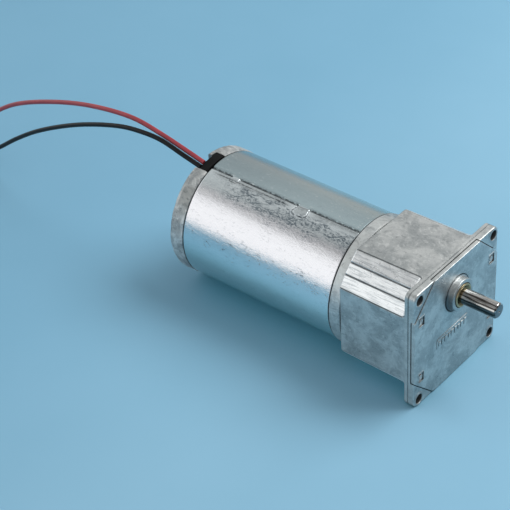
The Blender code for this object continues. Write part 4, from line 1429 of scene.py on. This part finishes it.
def lead_curve(name, points, mat):
    curve = bpy.data.curves.new(name, "CURVE")
    curve.dimensions = "3D"
    curve.bevel_depth = LEAD_R * MM
    curve.bevel_resolution = 6
    curve.use_fill_caps = True
    spline = curve.splines.new("POLY")
    spline.points.add(len(points) - 1)
    for slot, p in zip(spline.points, points):
        slot.co = (p[0] * MM, p[1] * MM, p[2] * MM, 1.0)
    spline.use_smooth = True
    curve.materials.append(MATS[mat])
    obj = bpy.data.objects.new(name, curve)
    COL.objects.link(obj)
    return obj


def strand_end(name, start, along, length=6.0):
    """Seven tinned strands twisted together, welded by their solder."""
    side = along.cross(Vector((0, 0, 1))).normalized()
    up = side.cross(along).normalized()
    rows, segs = 26, 42
    rings = []
    for i in range(rows + 1):
        t = i / rows
        c = start + along * (length * t)
        grow = min(1.0, 0.72 + 3.0 * t) * (1.0 if t < 0.93 else 1 - (t - 0.93) * 4.5)
        ring = []
        for k in range(segs):
            a = 2 * math.pi * k / segs
            lobes = 0.5 + 0.09 * abs(math.cos(3 * (a - 2.6 * math.pi * t)))
            r = lobes * grow
            p = c + side * (r * math.cos(a)) + up * (r * math.sin(a))
            ring.append(tuple(p))
        rings.append(ring)
    return loft(name, rings, "tinned", 60)


for name, route, mat, slot in (
    ("lead_red", RED_ROUTE, "red_pvc", "red_pvc"),
    ("lead_black", BLACK_ROUTE, "black_pvc", "black_pvc"),
):
    pts = smooth_points(route, 2.4)
    lead = lead_curve(f"{name}_wire", pts, mat)
    along = (pts[-1] - pts[-2]).normalized()
    end = strand_end(f"{name}_strands", pts[-1] + along * 0.3, along)
    finish_piece(lead, "frame", [name])
    finish_piece(end, "frame", [f"{name}_tinned_end"])


# =============================================================================
# floor
# =============================================================================
def floor_material():
    m = Mat("floor_paper")
    grain = m.noise(1.6, 3, 0.6)
    cloud = m.noise(60, 3, 0.55)
    base = m.mix(cloud, (0.228, 0.462, 0.625), (0.252, 0.489, 0.657))
    # the floor is darker towards the rear of the motor
    x, y, z = m.axes()
    deep = m.mix(cloud, (0.180, 0.405, 0.570), (0.200, 0.432, 0.605))
    base = m.mix(m.step(x, -0.05, -0.24), base, deep)
    # painted shadow: near the motor the floor is painted dark teal, from ambient occlusion
    near = m.step(m.crevice(45), 0.38, 0.88)
    base = m.mix(m.math("MULTIPLY", near, 0.75), base, (0.055, 0.310, 0.420))
    m.set(
        Base_Color=base,
        Roughness=0.75,
        Normal=m.bump(grain, 0.03, 0.35),
    )
    return m.mat


def build_floor():
    """A large flat sheet."""
    mesh = bpy.data.meshes.new("floor")
    s = 6.0
    verts = [(-s, -s, FLOOR_Z), (s, -s, FLOOR_Z), (s, s, FLOOR_Z), (-s, s, FLOOR_Z)]
    mesh.from_pydata(verts, [], [(0, 1, 2, 3)])
    mesh.materials.append(floor_material())
    obj = bpy.data.objects.new("floor", mesh)
    COL.objects.link(obj)
    return obj


build_floor()

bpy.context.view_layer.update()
